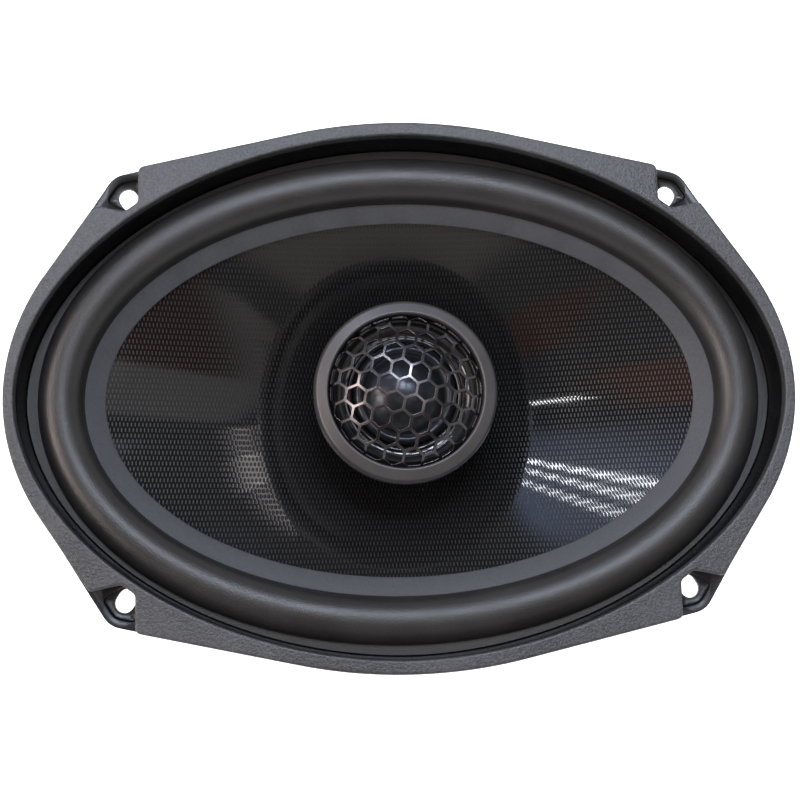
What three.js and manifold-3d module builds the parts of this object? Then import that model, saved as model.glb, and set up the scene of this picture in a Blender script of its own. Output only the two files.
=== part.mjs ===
// Oval two-way coaxial car speaker, 6 x 9 inch class, standing on its magnet with the front facing +Z.
// Millimetres. The origin is on the speaker's axis, at the bottom of the back plate. +X is the long axis.
import * as THREE from "three";
import { mergeVertices } from "three/addons/utils/BufferGeometryUtils.js";
import Module from "manifold-3d";

const wasm = await Module();
wasm.setup();

// ---- Driving dimensions -------------------------------------------------------------------------

const OVAL_SEGMENTS = 48;
const ROUND_SEGMENTS = 32;
const THIN_SEGMENTS = 24;
const SMALL_SEGMENTS = 12;
const GLUE = 0.2; // the gap left for a glue line, and between stacked plates

// Magnet motor, counted up from the back plate.
const YOKE = { radius: 45, plate: 5, edge: 1, poleRadius: 17.2, poleTop: 26.2, poleEdge: 0.8 };
const YOKE_BORE = { radius: 3.2, sinkRadius: 6.2, sinkDepth: 4.2 };
const MAGNET = { outer: 47.5, inner: 23, height: 15 };
const FRONT_PLATE = { outer: 43, inner: 19.4, height: 5 };
const MAGNET_BOTTOM = YOKE.plate + GLUE;
const PLATE_BOTTOM = MAGNET_BOTTOM + MAGNET.height + GLUE;
const PLATE_TOP = PLATE_BOTTOM + FRONT_PLATE.height;

// Pressed-steel basket.
const SHEET = 1.2;
const FLOOR_BOTTOM = PLATE_TOP + GLUE;
const FLOOR_INNER = 22.4;
const CUP = { bottom: 39, top: 41 };
const LEDGE = { outer: 47.5, height: 41.8 };
const BOWL_FOOT = { a: 101, b: 65.5, height: 64 };
const SHELF = { outerA: 114.2, outerB: 78.6, innerA: 105, innerB: 69.5, height: 72.8 };
const MOUTH = { a: 115, b: 79, power: 1.9 };
const FLANGE_TOP = 83;
const GASKET_THICKNESS = 2.9;
const GASKET_BOTTOM = FLANGE_TOP + 0.1;

// Outline of the mounting flange: an elliptical arc at each of the four poles, joined by straight flanks.
const END_ARC = { a: 118.1, b: 84.2, until: THREE.MathUtils.degToRad(23.8) };
const SIDE_ARC = { a: 113.5, b: 83.1, from: THREE.MathUtils.degToRad(73.5) };
const EAR_CORNER = { x: 87.1, y: 67.1, fillet: 3 };
const NOTCH = { side: 79.4, sideBottom: 58.3, foot: [83.4, 55.4], tip: [92.3, 57.3], top: 69.2 };
const EAR_HOLE = { x: 82.5, y: 60, radius: 3.2, length: 8, tilt: THREE.MathUtils.degToRad(58) };

// Windows in the bowl, between spokes of one width.
const WINDOW = { innerA: 55, innerB: 51, outerA: 96, outerB: 61.5, low: 36, high: 66 };
const SPOKE = { width: 12, angles: [28, 90, 152, 208, 270, 332] };

// Moving cone and its suspension.
const CONE = {
  neck: 18.4, neckHeight: 45, edgeA: 96.2, edgeB: 60.3,
  edgeHeight: 72.1, thickness: 0.8, bend: 0.85,
};
const ROLL = {
  outerA: 110.6, outerB: 75.4, innerA: 96.8, innerB: 60.9,
  foot: 73.6, rise: 6.2, thickness: 0.7,
};
const ROLL_STEPS = 6;
const RIM_GAP = 0.5; // between the surround's rim and the shelf's wall
const LIP = { a: 90.9, b: 55.2, height: 71.3 };
const FORMER = { inner: 17.75, outer: 18.05, bottom: 15.6, top: 47.6 };
const WINDING = { inner: 18.2, outer: 18.85, bottom: 17.4, top: 28.4 };
const SPIDER = {
  inner: 18.5, outer: 46.8, height: 42.6, thickness: 0.5,
  wave: 1.4, waves: 5, waveStart: 21, waveEnd: 40.5,
};
const DUST_SEAL = { inner: 7.4, outer: 17.5, bottom: 44.6, height: 1.2 };

// Tweeter on its central post.
const POST = { radius: 5.2, bottom: YOKE.poleTop + GLUE, top: 59.4, bore: 2.7, boreTop: 48 };
const POST_FOOT = { radius: 10, height: 2.6, neckRadius: 6.2, neckHeight: 5.6, taperHeight: 12 };
const SCREW = { head: 4.8, headBottom: 0.6, headTop: 4, edge: 0.7, shank: 2.4, top: 38 };
const HOUSING = { bottom: 59.6, foot: 20, rim: 26.2, rimHeight: 76.4, wall: 1.6, hole: 3 };
const HOUSING_BELLY = { radius: 24.6, height: 6, wallHeight: 10, insideHeight: 10.4 };
const BEZEL = { outer: 27.8, inner: 23.3, bottom: 76.6, top: 84.4 };
const BEZEL_EDGE = { foot: 1, side: 0.8, corner: 4.4, face: 2, faceDrop: 1.8, lip: 0.5, lipDrop: 0.4 };
const GRILLE = {
  radius: 22.7, edge: 82.9, rise: 7.6, thickness: 0.8,
  pitch: 5.85, bar: 0.9, turn: -0.21, rings: 4,
};
const FACE_PLATE = {
  outer: 22.9, inner: 15.9, bottom: 74.4, thickness: 1.6,
  rimHeight: 2.4, rimWidth: 1.4, slope: 1,
};
const DOME = { radius: 12.4, roll: 15.6, foot: 76.4, rise: 4.6, rollRise: 0.9, thickness: 0.4 };
const TWEETER_COIL = { inner: 12.1, outer: 12.6, top: 75.9, height: 4 };
const TWEETER_YOKE = { outer: 15.4, inner: 13.2, bottom: 62, floor: 2.4, top: 74.2 };
const TWEETER_MAGNET = { radius: 11, height: 6.4 };
const POLE_CAP = { radius: 11.6, height: 2.6 };

// Terminals on the outside of the cup, on the -Y side.
const PAD = { width: 26, low: 28, high: 40.6, face: -43.4 };
const BOARD = { width: 32, low: 29.2, high: 40.2, thickness: 1.8 };
const TAB = { thickness: 0.8, reach: 9.5, foot: 7, offset: 9, height: 34.6, rivetHeight: 35.4 };
const TAB_WIDTH = { positive: 4.8, negative: 3.6 };
const TAB_RIVET = { head: 1.9, shank: 1.1, headHeight: 0.9, length: 2.2, play: 0.1 };
const RIVET_BORE = TAB_RIVET.shank + 0.2;
const CAPACITOR = { radius: 4, length: 11.6, edge: 0.5, distance: 46.6, bottom: 28.6 };
const CAPACITOR_ANGLE = THREE.MathUtils.degToRad(239);
const LEAD = { radius: 0.55, steps: 22, sides: 6 };

// One braided lead on the +X side: from the board, through a window, to the back of the cone.
const LEAD_ROUTE = [
  [9, -47.2, 38.7],
  [9.5, -50.6, 40.9],
  [11.2, -52.6, 43.2],
  [12.4, -55.6, 46.6],
  [12.8, -56.4, 50.6],
  [11.6, -53, 54.4],
  [9.4, -46, 55.2],
  [8.2, -40.6, 56],
  [8, -38.4, 57.9],
];
const STAKE = { head: 3, shank: 1.9, distance: 31, headHeight: 1.3, clearance: 0.3 };

// ---- Shape helpers ------------------------------------------------------------------------------

// The signed volume of a closed triangle mesh.
function signedVolume(positions, index) {
  const corner = [new THREE.Vector3(), new THREE.Vector3(), new THREE.Vector3()];
  let sum = 0;
  for (let i = 0; i < index.length; i += 3) {
    corner.forEach((vertex, k) => vertex.fromArray(positions, index[i + k] * 3));
    sum += corner[0].dot(corner[1].cross(corner[2])) / 6;
  }
  return sum;
}

// A closed geometry with shared vertices, turned so that its faces point outwards.
function closed(geometry) {
  const bare = new THREE.BufferGeometry().setAttribute("position", geometry.getAttribute("position"));
  bare.setIndex(geometry.index);
  const merged = mergeVertices(bare, 1e-4);
  const index = Array.from(merged.index.array);
  if (signedVolume(merged.attributes.position.array, index) < 0) index.reverse();
  merged.setIndex(index);
  return merged;
}

function toSolid(geometry) {
  const ready = closed(geometry);
  const vertProperties = new Float32Array(ready.attributes.position.array);
  const triVerts = new Uint32Array(ready.index.array);
  return new wasm.Manifold(new wasm.Mesh({ numProp: 3, vertProperties, triVerts }));
}

function fromSolid(solid) {
  const made = solid.getMesh();
  const geometry = new THREE.BufferGeometry();
  geometry.setAttribute("position", new THREE.BufferAttribute(new Float32Array(made.vertProperties), 3));
  geometry.setIndex(Array.from(made.triVerts));
  return geometry;
}

// One point of a superellipse with half-axes a and b; power 2 is an ellipse.
function ovalPoint(a, b, t, power = 2) {
  const c = Math.cos(t);
  const s = Math.sin(t);
  const x = a * Math.sign(c) * Math.abs(c) ** (2 / power);
  const y = b * Math.sign(s) * Math.abs(s) ** (2 / power);
  return new THREE.Vector2(x, y);
}

function ovalPath(a, b, power = 2, segments = OVAL_SEGMENTS) {
  return Array.from({ length: segments }, (_, i) => ovalPoint(a, b, (i / segments) * 2 * Math.PI, power));
}

// A closed ring whose cross-section is the loop of [a, b, z, power] points, swept around an oval.
function ovalRing(section, segments = OVAL_SEGMENTS) {
  const positions = [];
  const index = [];
  for (let i = 0; i < segments; i += 1) {
    for (const [a, b, z, power] of section) {
      const p = ovalPoint(a, b, (i / segments) * 2 * Math.PI, power ?? 2);
      positions.push(p.x, p.y, z);
    }
  }
  const n = section.length;
  for (let i = 0; i < segments; i += 1) {
    const next = (i + 1) % segments;
    for (let k = 0; k < n; k += 1) {
      const after = (k + 1) % n;
      index.push(i * n + k, next * n + k, next * n + after, i * n + k, next * n + after, i * n + after);
    }
  }
  const geometry = new THREE.BufferGeometry();
  geometry.setAttribute("position", new THREE.Float32BufferAttribute(positions, 3));
  geometry.setIndex(index);
  return closed(geometry);
}

// A round ring from a loop of [radius, z] points.
function roundRing(section, segments = ROUND_SEGMENTS) {
  return ovalRing(section.map(([r, z]) => [r, r, z]), segments);
}

function tubeRing(inner, outer, bottom, top, segments = ROUND_SEGMENTS) {
  return roundRing([[inner, bottom], [outer, bottom], [outer, top], [inner, top]], segments);
}

// A turned solid from [radius, z] points that start and end on the axis.
function turned(profile, segments = ROUND_SEGMENTS) {
  const points = profile.map(([r, z]) => new THREE.Vector2(r, z));
  return closed(new THREE.LatheGeometry(points, segments).rotateX(Math.PI / 2));
}

function disc(radius, bottom, top, segments = ROUND_SEGMENTS) {
  return turned([[0, bottom], [radius, bottom], [radius, top], [0, top]], segments);
}

function slab(outline, bottom, top, hole) {
  const shape = new THREE.Shape(outline);
  if (hole) shape.holes.push(new THREE.Path(hole));
  const depth = top - bottom;
  return closed(new THREE.ExtrudeGeometry(shape, { depth, bevelEnabled: false }).translate(0, 0, bottom));
}

function block(x, y, z) {
  const size = [x, y, z].map(([low, high]) => high - low);
  const centre = [x, y, z].map(([low, high]) => (high + low) / 2);
  return closed(new THREE.BoxGeometry(...size).translate(...centre));
}

// The arc that rounds the corner at `tip`, between the lines to `from` and `to`.
function fillet(from, tip, to, radius, steps = 5) {
  const back = from.clone().sub(tip).normalize();
  const ahead = to.clone().sub(tip).normalize();
  const half = Math.acos(back.dot(ahead)) / 2;
  const run = radius / Math.tan(half);
  const start = tip.clone().addScaledVector(back, run);
  const end = tip.clone().addScaledVector(ahead, run);
  const curve = new THREE.QuadraticBezierCurve(start, tip, end);
  return curve.getPoints(steps);
}

// A full outline from the points of its first quadrant, which run from the +X pole to the +Y pole.
function mirrored(quadrant) {
  const flip = (points, sx, sy) => points.map((p) => new THREE.Vector2(p.x * sx, p.y * sy));
  const second = flip(quadrant, -1, 1).reverse().slice(1);
  const third = flip(quadrant, -1, -1).slice(1);
  const fourth = flip(quadrant, 1, -1).reverse().slice(1, -1);
  return [...quadrant, ...second, ...third, ...fourth];
}

function endArc(steps = 7) {
  const at = (i) => ovalPoint(END_ARC.a, END_ARC.b, (END_ARC.until * i) / steps);
  return Array.from({ length: steps + 1 }, (_, i) => at(i));
}

function sideArc(steps = 5) {
  const span = Math.PI / 2 - SIDE_ARC.from;
  const at = (i) => ovalPoint(SIDE_ARC.a, SIDE_ARC.b, SIDE_ARC.from + (span * i) / steps);
  const points = Array.from({ length: steps + 1 }, (_, i) => at(i));
  points[steps].x = 0;
  return points;
}

function tube(points, radius, steps, sides) {
  const curve = new THREE.CatmullRomCurve3(points.map((p) => new THREE.Vector3(...p)));
  const shape = new THREE.Shape(ovalPath(radius, radius, 2, sides));
  return closed(new THREE.ExtrudeGeometry(shape, { steps, bevelEnabled: false, extrudePath: curve }));
}

// ---- The group ----------------------------------------------------------------------------------

const COLOURS = {
  blackSteel: { color: 0x101012, roughness: 0.35, metalness: 0.2 },
  gasketFoam: { color: 0x3b3d40, roughness: 0.95, metalness: 0 },
  rubber: { color: 0x1b1b1c, roughness: 0.55, metalness: 0 },
  coneSkin: { color: 0x111113, roughness: 0.22, metalness: 0 },
  kapton: { color: 0x8a5a22, roughness: 0.4, metalness: 0 },
  copper: { color: 0xb0693a, roughness: 0.3, metalness: 1 },
  cotton: { color: 0x8f7a4a, roughness: 0.9, metalness: 0 },
  felt: { color: 0x18181a, roughness: 1, metalness: 0 },
  zincPlate: { color: 0x9a9c9f, roughness: 0.35, metalness: 1 },
  ferrite: { color: 0x2a2b2d, roughness: 0.7, metalness: 0.2 },
  blackPlastic: { color: 0x17171a, roughness: 0.4, metalness: 0 },
  satinGrey: { color: 0x4c4a4c, roughness: 0.4, metalness: 0.3 },
  darkNickel: { color: 0x6a6666, roughness: 0.3, metalness: 1 },
  domeFilm: { color: 0x1b1d22, roughness: 0.15, metalness: 0.2 },
  phenolic: { color: 0x2b1d12, roughness: 0.6, metalness: 0 },
  tinPlate: { color: 0xc9c7bf, roughness: 0.3, metalness: 1 },
  brass: { color: 0xb59b52, roughness: 0.3, metalness: 1 },
  capSleeve: { color: 0x1c2c55, roughness: 0.4, metalness: 0 },
};

const speaker = new THREE.Group();

function add(name, geometry, finish) {
  const material = new THREE.MeshStandardMaterial(COLOURS[finish]);
  const mesh = new THREE.Mesh(geometry, material);
  mesh.name = name;
  speaker.add(mesh);
}

// ---- Basket -------------------------------------------------------------------------------------

function flangeOutline() {
  const end = endArc();
  const side = sideArc();
  const tip = new THREE.Vector2(EAR_CORNER.x, EAR_CORNER.y);
  const corner = fillet(end.at(-1), tip, side[0], EAR_CORNER.fillet);
  return mirrored([...end, ...corner, ...side]);
}

// The bowl is one sheet: inner skin from the mouth down to the floor, then the outer skin back up.
function basketSheet() {
  const inner = [
    [MOUTH.a, MOUTH.b, FLANGE_TOP, MOUTH.power],
    [SHELF.outerA, SHELF.outerB, SHELF.height, MOUTH.power],
    [SHELF.innerA, SHELF.innerB, SHELF.height],
    [BOWL_FOOT.a, BOWL_FOOT.b, BOWL_FOOT.height],
    [LEDGE.outer, LEDGE.outer, LEDGE.height],
    [CUP.top, CUP.top, LEDGE.height],
    [CUP.bottom, CUP.bottom, FLOOR_BOTTOM + SHEET],
    [FLOOR_INNER, FLOOR_INNER, FLOOR_BOTTOM + SHEET],
  ];
  const outer = [
    [FLOOR_INNER, FLOOR_INNER, FLOOR_BOTTOM],
    [CUP.bottom + SHEET, CUP.bottom + SHEET, FLOOR_BOTTOM],
    [CUP.top + SHEET, CUP.top + SHEET, LEDGE.height - SHEET],
    [LEDGE.outer + 2 * SHEET, LEDGE.outer + SHEET, LEDGE.height - SHEET],
    [BOWL_FOOT.a + SHEET, BOWL_FOOT.b + SHEET, BOWL_FOOT.height - SHEET],
    [SHELF.innerA + SHEET, SHELF.innerB + SHEET, SHELF.height - SHEET],
    [SHELF.outerA + SHEET, SHELF.outerB + SHEET, SHELF.height - SHEET, MOUTH.power],
    [MOUTH.a + SHEET, MOUTH.b + SHEET, FLANGE_TOP, MOUTH.power],
  ];
  return ovalRing([...inner, ...outer]);
}

// All six windows at once: an oval band that is cut where the spokes stay.
function windowCutter() {
  const band = slab(
    ovalPath(WINDOW.outerA, WINDOW.outerB),
    WINDOW.low,
    WINDOW.high,
    ovalPath(WINDOW.innerA, WINDOW.innerB),
  );
  let cutter = toSolid(band);
  const half = SPOKE.width / 2;
  for (const angle of SPOKE.angles) {
    const bar = block([0, WINDOW.outerA + 10], [-half, half], [WINDOW.low - 1, WINDOW.high + 1]);
    bar.rotateZ(THREE.MathUtils.degToRad(angle));
    cutter = cutter.subtract(toSolid(bar));
  }
  return cutter;
}

// One slotted screw hole, tilted towards its corner.
function earHole(sx, sy) {
  const half = EAR_HOLE.length / 2 - EAR_HOLE.radius;
  const steps = SMALL_SEGMENTS / 2;
  const cap = (sign) =>
    Array.from({ length: steps + 1 }, (_, i) => {
      const t = (i / steps) * Math.PI - Math.PI / 2 + (sign < 0 ? Math.PI : 0);
      return new THREE.Vector2(sign * half + EAR_HOLE.radius * Math.cos(t), EAR_HOLE.radius * Math.sin(t));
    });
  const hole = slab([...cap(1), ...cap(-1)], FLANGE_TOP - 4, FLANGE_TOP + 2);
  hole.rotateZ(sx * sy > 0 ? EAR_HOLE.tilt : -EAR_HOLE.tilt);
  return hole.translate(sx * EAR_HOLE.x, sy * EAR_HOLE.y, 0);
}

const CORNERS = [[1, 1], [-1, 1], [-1, -1], [1, -1]];
const STAKE_ANGLES = [45, 135, 225, 315].map(THREE.MathUtils.degToRad);

function stakePlace(angle) {
  return [STAKE.distance * Math.cos(angle), STAKE.distance * Math.sin(angle), 0];
}

function basket() {
  const mouth = ovalPath(MOUTH.a + SHEET / 2, MOUTH.b + SHEET / 2, MOUTH.power);
  const flange = slab(flangeOutline(), FLANGE_TOP - SHEET, FLANGE_TOP, mouth);
  const pad = block([-PAD.width / 2, PAD.width / 2], [PAD.face, 1 - CUP.bottom], [PAD.low, PAD.high]);
  const cupInside = disc(CUP.bottom, PAD.low - 1, LEDGE.height + 1);
  let solid = toSolid(basketSheet()).add(toSolid(flange));
  solid = solid.add(toSolid(pad).subtract(toSolid(cupInside)));
  solid = solid.subtract(windowCutter());
  for (const [sx, sy] of CORNERS) solid = solid.subtract(toSolid(earHole(sx, sy)));
  for (const angle of STAKE_ANGLES) {
    const radius = STAKE.shank + STAKE.clearance;
    const hole = disc(radius, FLOOR_BOTTOM - 1, FLOOR_BOTTOM + SHEET + 1, SMALL_SEGMENTS);
    solid = solid.subtract(toSolid(hole.translate(...stakePlace(angle))));
  }
  return fromSolid(solid);
}

add("basket", basket(), "blackSteel");

// The gasket follows the flange and is notched at the four ears.
function gasket() {
  const end = endArc();
  const side = sideArc();
  const tip = new THREE.Vector2(...NOTCH.tip);
  const foot = new THREE.Vector2(...NOTCH.foot);
  const low = new THREE.Vector2(NOTCH.side, NOTCH.sideBottom);
  const high = new THREE.Vector2(NOTCH.side, NOTCH.top);
  const quadrant = [
    ...end,
    tip,
    ...fillet(tip, foot, low, 0.8, 3),
    ...fillet(foot, low, high, 0.8, 3),
    ...fillet(low, high, side[0], 1.8, 4),
    ...side,
  ];
  const mouth = ovalPath(MOUTH.a, MOUTH.b, MOUTH.power);
  return slab(mirrored(quadrant), GASKET_BOTTOM, GASKET_BOTTOM + GASKET_THICKNESS, mouth);
}

add("front_gasket", gasket(), "gasketFoam");

// ---- Suspension and cone ------------------------------------------------------------------------

// Rubber half roll with a flat outer rim glued to the shelf and a sloping inner lip glued on the cone's edge.
function surround() {
  const top = [];
  const under = [];
  const rimA = SHELF.outerA - RIM_GAP;
  const rimB = SHELF.outerB - RIM_GAP;
  top.push([rimA, rimB, ROLL.foot, MOUTH.power]);
  under.push([rimA, rimB, ROLL.foot - ROLL.thickness, MOUTH.power]);
  for (let i = 0; i <= ROLL_STEPS; i += 1) {
    const t = (i / ROLL_STEPS) * Math.PI;
    const across = (1 - Math.cos(t)) / 2;
    const lift = Math.sin(t);
    const a = THREE.MathUtils.lerp(ROLL.outerA, ROLL.innerA, across);
    const b = THREE.MathUtils.lerp(ROLL.outerB, ROLL.innerB, across);
    top.push([a, b, ROLL.foot + ROLL.rise * lift]);
    const pull = ROLL.thickness * Math.cos(t);
    under.push([a - pull, b - pull, ROLL.foot - ROLL.thickness + ROLL.rise * lift]);
  }
  top.push([LIP.a, LIP.b, LIP.height]);
  under.push([LIP.a, LIP.b, LIP.height - ROLL.thickness / 2]);
  return ovalRing([...top, ...under.reverse()]);
}

add("surround", surround(), "rubber");

// Height of the cone's front skin at the share s of the way from neck to edge.
function coneHeight(s) {
  return CONE.neckHeight + (CONE.edgeHeight - CONE.neckHeight) * s ** CONE.bend;
}

function cone() {
  const shares = [0, 0.15, 0.4, 0.7, 1];
  const at = (s, drop) => [
    THREE.MathUtils.lerp(CONE.neck, CONE.edgeA, s),
    THREE.MathUtils.lerp(CONE.neck, CONE.edgeB, s),
    coneHeight(s) - drop,
  ];
  const front = shares.map((s) => at(s, 0));
  const back = shares.map((s) => at(s, CONE.thickness)).reverse();
  return ovalRing([...front, ...back]);
}

add("cone", cone(), "coneSkin");
add("voice_coil_former", tubeRing(FORMER.inner, FORMER.outer, FORMER.bottom, FORMER.top), "kapton");
add("voice_coil_winding", tubeRing(WINDING.inner, WINDING.outer, WINDING.bottom, WINDING.top), "copper");

const sealTop = DUST_SEAL.bottom + DUST_SEAL.height;
add("dust_seal", tubeRing(DUST_SEAL.inner, DUST_SEAL.outer, DUST_SEAL.bottom, sealTop), "felt");

// Corrugated cloth disc that centres the coil.
function spider() {
  const steps = SPIDER.waves * 2;
  const top = [[SPIDER.inner, SPIDER.height], [SPIDER.waveStart, SPIDER.height]];
  for (let i = 1; i < steps; i += 1) {
    const r = THREE.MathUtils.lerp(SPIDER.waveStart, SPIDER.waveEnd, i / steps);
    top.push([r, SPIDER.height + SPIDER.wave * (i % 2 ? 1 : -1)]);
  }
  top.push([SPIDER.waveEnd, SPIDER.height], [SPIDER.outer, SPIDER.height]);
  const under = top.map(([r, z]) => [r, z - SPIDER.thickness]).reverse();
  return roundRing([...top, ...under], THIN_SEGMENTS);
}

add("spider", spider(), "cotton");

// ---- Magnet motor -------------------------------------------------------------------------------

function yoke() {
  return roundRing([
    [YOKE_BORE.sinkRadius, 0],
    [YOKE.radius - YOKE.edge, 0],
    [YOKE.radius, YOKE.edge],
    [YOKE.radius, YOKE.plate],
    [YOKE.poleRadius, YOKE.plate],
    [YOKE.poleRadius, YOKE.poleTop - YOKE.poleEdge],
    [YOKE.poleRadius - YOKE.poleEdge, YOKE.poleTop],
    [YOKE_BORE.radius, YOKE.poleTop],
    [YOKE_BORE.radius, YOKE_BORE.sinkDepth],
    [YOKE_BORE.sinkRadius, YOKE_BORE.sinkDepth],
  ]);
}

add("t_yoke", yoke(), "zincPlate");
const magnetTop = MAGNET_BOTTOM + MAGNET.height;
add("magnet_ring", tubeRing(MAGNET.inner, MAGNET.outer, MAGNET_BOTTOM, magnetTop), "ferrite");
add("front_plate", tubeRing(FRONT_PLATE.inner, FRONT_PLATE.outer, PLATE_BOTTOM, PLATE_TOP), "zincPlate");

// Rivets that stake the basket's floor to the front plate.
STAKE_ANGLES.forEach((angle, i) => {
  const headBottom = FLOOR_BOTTOM + SHEET + 0.1;
  const stake = turned(
    [
      [0, PLATE_TOP + 0.1],
      [STAKE.shank, PLATE_TOP + 0.1],
      [STAKE.shank, headBottom],
      [STAKE.head, headBottom],
      [STAKE.head * 0.8, headBottom + STAKE.headHeight * 0.7],
      [0, headBottom + STAKE.headHeight],
    ],
    SMALL_SEGMENTS,
  );
  add(`stake_rivet_${i + 1}`, stake.translate(...stakePlace(angle)), "zincPlate");
});

// ---- Tweeter ------------------------------------------------------------------------------------

function post() {
  return turned([
    [0, POST.boreTop],
    [POST.bore, POST.boreTop],
    [POST.bore, POST.bottom],
    [POST_FOOT.radius, POST.bottom],
    [POST_FOOT.radius, POST.bottom + POST_FOOT.height],
    [POST_FOOT.neckRadius, POST.bottom + POST_FOOT.neckHeight],
    [POST.radius, POST.bottom + POST_FOOT.taperHeight],
    [POST.radius, POST.top],
    [0, POST.top],
  ], SMALL_SEGMENTS * 2);
}

add("tweeter_post", post(), "blackPlastic");

const screw = turned([
  [0, SCREW.headBottom],
  [SCREW.head - SCREW.edge, SCREW.headBottom],
  [SCREW.head, SCREW.headBottom + SCREW.edge],
  [SCREW.head, SCREW.headTop],
  [SCREW.shank, SCREW.headTop],
  [SCREW.shank, SCREW.top],
  [0, SCREW.top],
], SMALL_SEGMENTS * 2);
add("post_screw", screw, "zincPlate");

function housing() {
  const { bottom, foot, rim, rimHeight, wall, hole } = HOUSING;
  return roundRing([
    [hole, bottom],
    [foot, bottom],
    [HOUSING_BELLY.radius, bottom + HOUSING_BELLY.height],
    [rim, bottom + HOUSING_BELLY.wallHeight],
    [rim, rimHeight],
    [rim - wall, rimHeight],
    [rim - wall, bottom + HOUSING_BELLY.insideHeight],
    [foot - wall / 2, bottom + wall],
    [hole, bottom + wall],
  ]);
}

add("tweeter_housing", housing(), "blackPlastic");

// The bezel's cross-section: flat underside, rounded outer edge, gently sloping face, then the inner wall.
function bezel() {
  const { outer, inner, bottom, top } = BEZEL;
  const shoulder = new THREE.QuadraticBezierCurve(
    new THREE.Vector2(outer, bottom + BEZEL_EDGE.side),
    new THREE.Vector2(outer, bottom + BEZEL_EDGE.corner),
    new THREE.Vector2(outer - BEZEL_EDGE.face, top - BEZEL_EDGE.faceDrop),
  ).getPoints(3);
  return roundRing([
    [outer - BEZEL_EDGE.foot, bottom],
    ...shoulder.map((p) => [p.x, p.y]),
    [inner + BEZEL_EDGE.lip, top],
    [inner, top - BEZEL_EDGE.lipDrop],
    [inner, bottom],
  ]);
}

add("tweeter_bezel", bezel(), "satinGrey");

// Domed grille with hexagonal holes: a spherical cap and a flat rim, pierced by a tilted honeycomb.
function grille() {
  const { radius, edge, rise, thickness, pitch, bar, turn, rings } = GRILLE;
  const sphere = (radius * radius + rise * rise) / (2 * rise);
  const centre = edge + rise - sphere;
  const height = (r) => Math.sqrt(sphere * sphere - r * r) + centre;
  const stops = [0, 0.35, 0.7, 1].map((share) => share * radius);
  const over = stops.map((r) => [r, height(r)]);
  const below = stops.map((r) => [r, height(r) - thickness]).reverse();
  let shell = toSolid(turned([...over, ...below], THIN_SEGMENTS));
  const side = (pitch - bar) / Math.sqrt(3);
  const row = new THREE.Vector2(pitch / 2, (pitch * Math.sqrt(3)) / 2);
  for (let u = -rings; u <= rings; u += 1) {
    for (let v = -rings; v <= rings; v += 1) {
      const at = new THREE.Vector2(u * pitch, 0).addScaledVector(row, v);
      if (at.length() > radius - side - bar) continue;
      const upright = ovalPath(side, side, 2, 6).map((p) => p.rotateAround(new THREE.Vector2(), Math.PI / 6));
      const hexagon = upright.map((p) => p.add(at));
      const prism = slab(hexagon, edge - 4, edge + rise + 2).rotateZ(turn);
      shell = shell.subtract(toSolid(prism));
    }
  }
  return fromSolid(shell);
}

add("tweeter_grille", grille(), "darkNickel");

const faceTop = FACE_PLATE.bottom + FACE_PLATE.thickness;
const facePlate = roundRing([
  [FACE_PLATE.inner, FACE_PLATE.bottom],
  [FACE_PLATE.outer, FACE_PLATE.bottom],
  [FACE_PLATE.outer, faceTop + FACE_PLATE.rimHeight],
  [FACE_PLATE.outer - FACE_PLATE.rimWidth, faceTop + FACE_PLATE.rimHeight],
  [FACE_PLATE.outer - FACE_PLATE.rimWidth - FACE_PLATE.slope, faceTop],
  [FACE_PLATE.inner, faceTop],
]);
add("tweeter_face_plate", facePlate, "blackPlastic");

// Dome and its small half roll in one film.
function tweeterDome() {
  const { radius, roll, foot, rise, rollRise, thickness } = DOME;
  const sphere = (radius * radius + rise * rise) / (2 * rise);
  const cap = [0, 0.35, 0.7, 1].map((share) => {
    const r = share * radius;
    return [r, foot + rise - sphere + Math.sqrt(sphere * sphere - r * r)];
  });
  const rollTop = [0.33, 0.67, 1].map((share) => {
    const r = THREE.MathUtils.lerp(radius, roll, share);
    return [r, foot + rollRise * Math.sin(share * Math.PI)];
  });
  const over = [...cap, ...rollTop];
  const below = over.map(([r, z]) => [r, z - thickness]).reverse();
  return turned([...over, ...below], THIN_SEGMENTS);
}

add("tweeter_dome", tweeterDome(), "domeFilm");

const coilBottom = TWEETER_COIL.top - TWEETER_COIL.height;
add("tweeter_coil", tubeRing(TWEETER_COIL.inner, TWEETER_COIL.outer, coilBottom, TWEETER_COIL.top), "copper");

const yokeFloor = TWEETER_YOKE.bottom + TWEETER_YOKE.floor;
const tweeterYoke = turned([
  [0, TWEETER_YOKE.bottom],
  [TWEETER_YOKE.outer, TWEETER_YOKE.bottom],
  [TWEETER_YOKE.outer, TWEETER_YOKE.top],
  [TWEETER_YOKE.inner, TWEETER_YOKE.top],
  [TWEETER_YOKE.inner, yokeFloor],
  [0, yokeFloor],
]);
add("tweeter_yoke", tweeterYoke, "zincPlate");

const discBottom = yokeFloor + GLUE;
const capBottom = discBottom + TWEETER_MAGNET.height + GLUE;
const discTop = discBottom + TWEETER_MAGNET.height;
add("tweeter_magnet", disc(TWEETER_MAGNET.radius, discBottom, discTop), "darkNickel");
add("tweeter_pole_cap", disc(POLE_CAP.radius, capBottom, capBottom + POLE_CAP.height), "zincPlate");

// ---- Terminals ----------------------------------------------------------------------------------

const BOARD_BACK = PAD.face - GLUE;
const BOARD_FACE = BOARD_BACK - BOARD.thickness;

// A bore along Y for one tab's rivet.
function rivetBore(x) {
  const reach = 3;
  const bore = disc(RIVET_BORE, -reach, BOARD.thickness + 2 * reach, SMALL_SEGMENTS).rotateX(Math.PI / 2);
  return toSolid(bore.translate(x, BOARD_BACK, TAB.rivetHeight));
}

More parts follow.
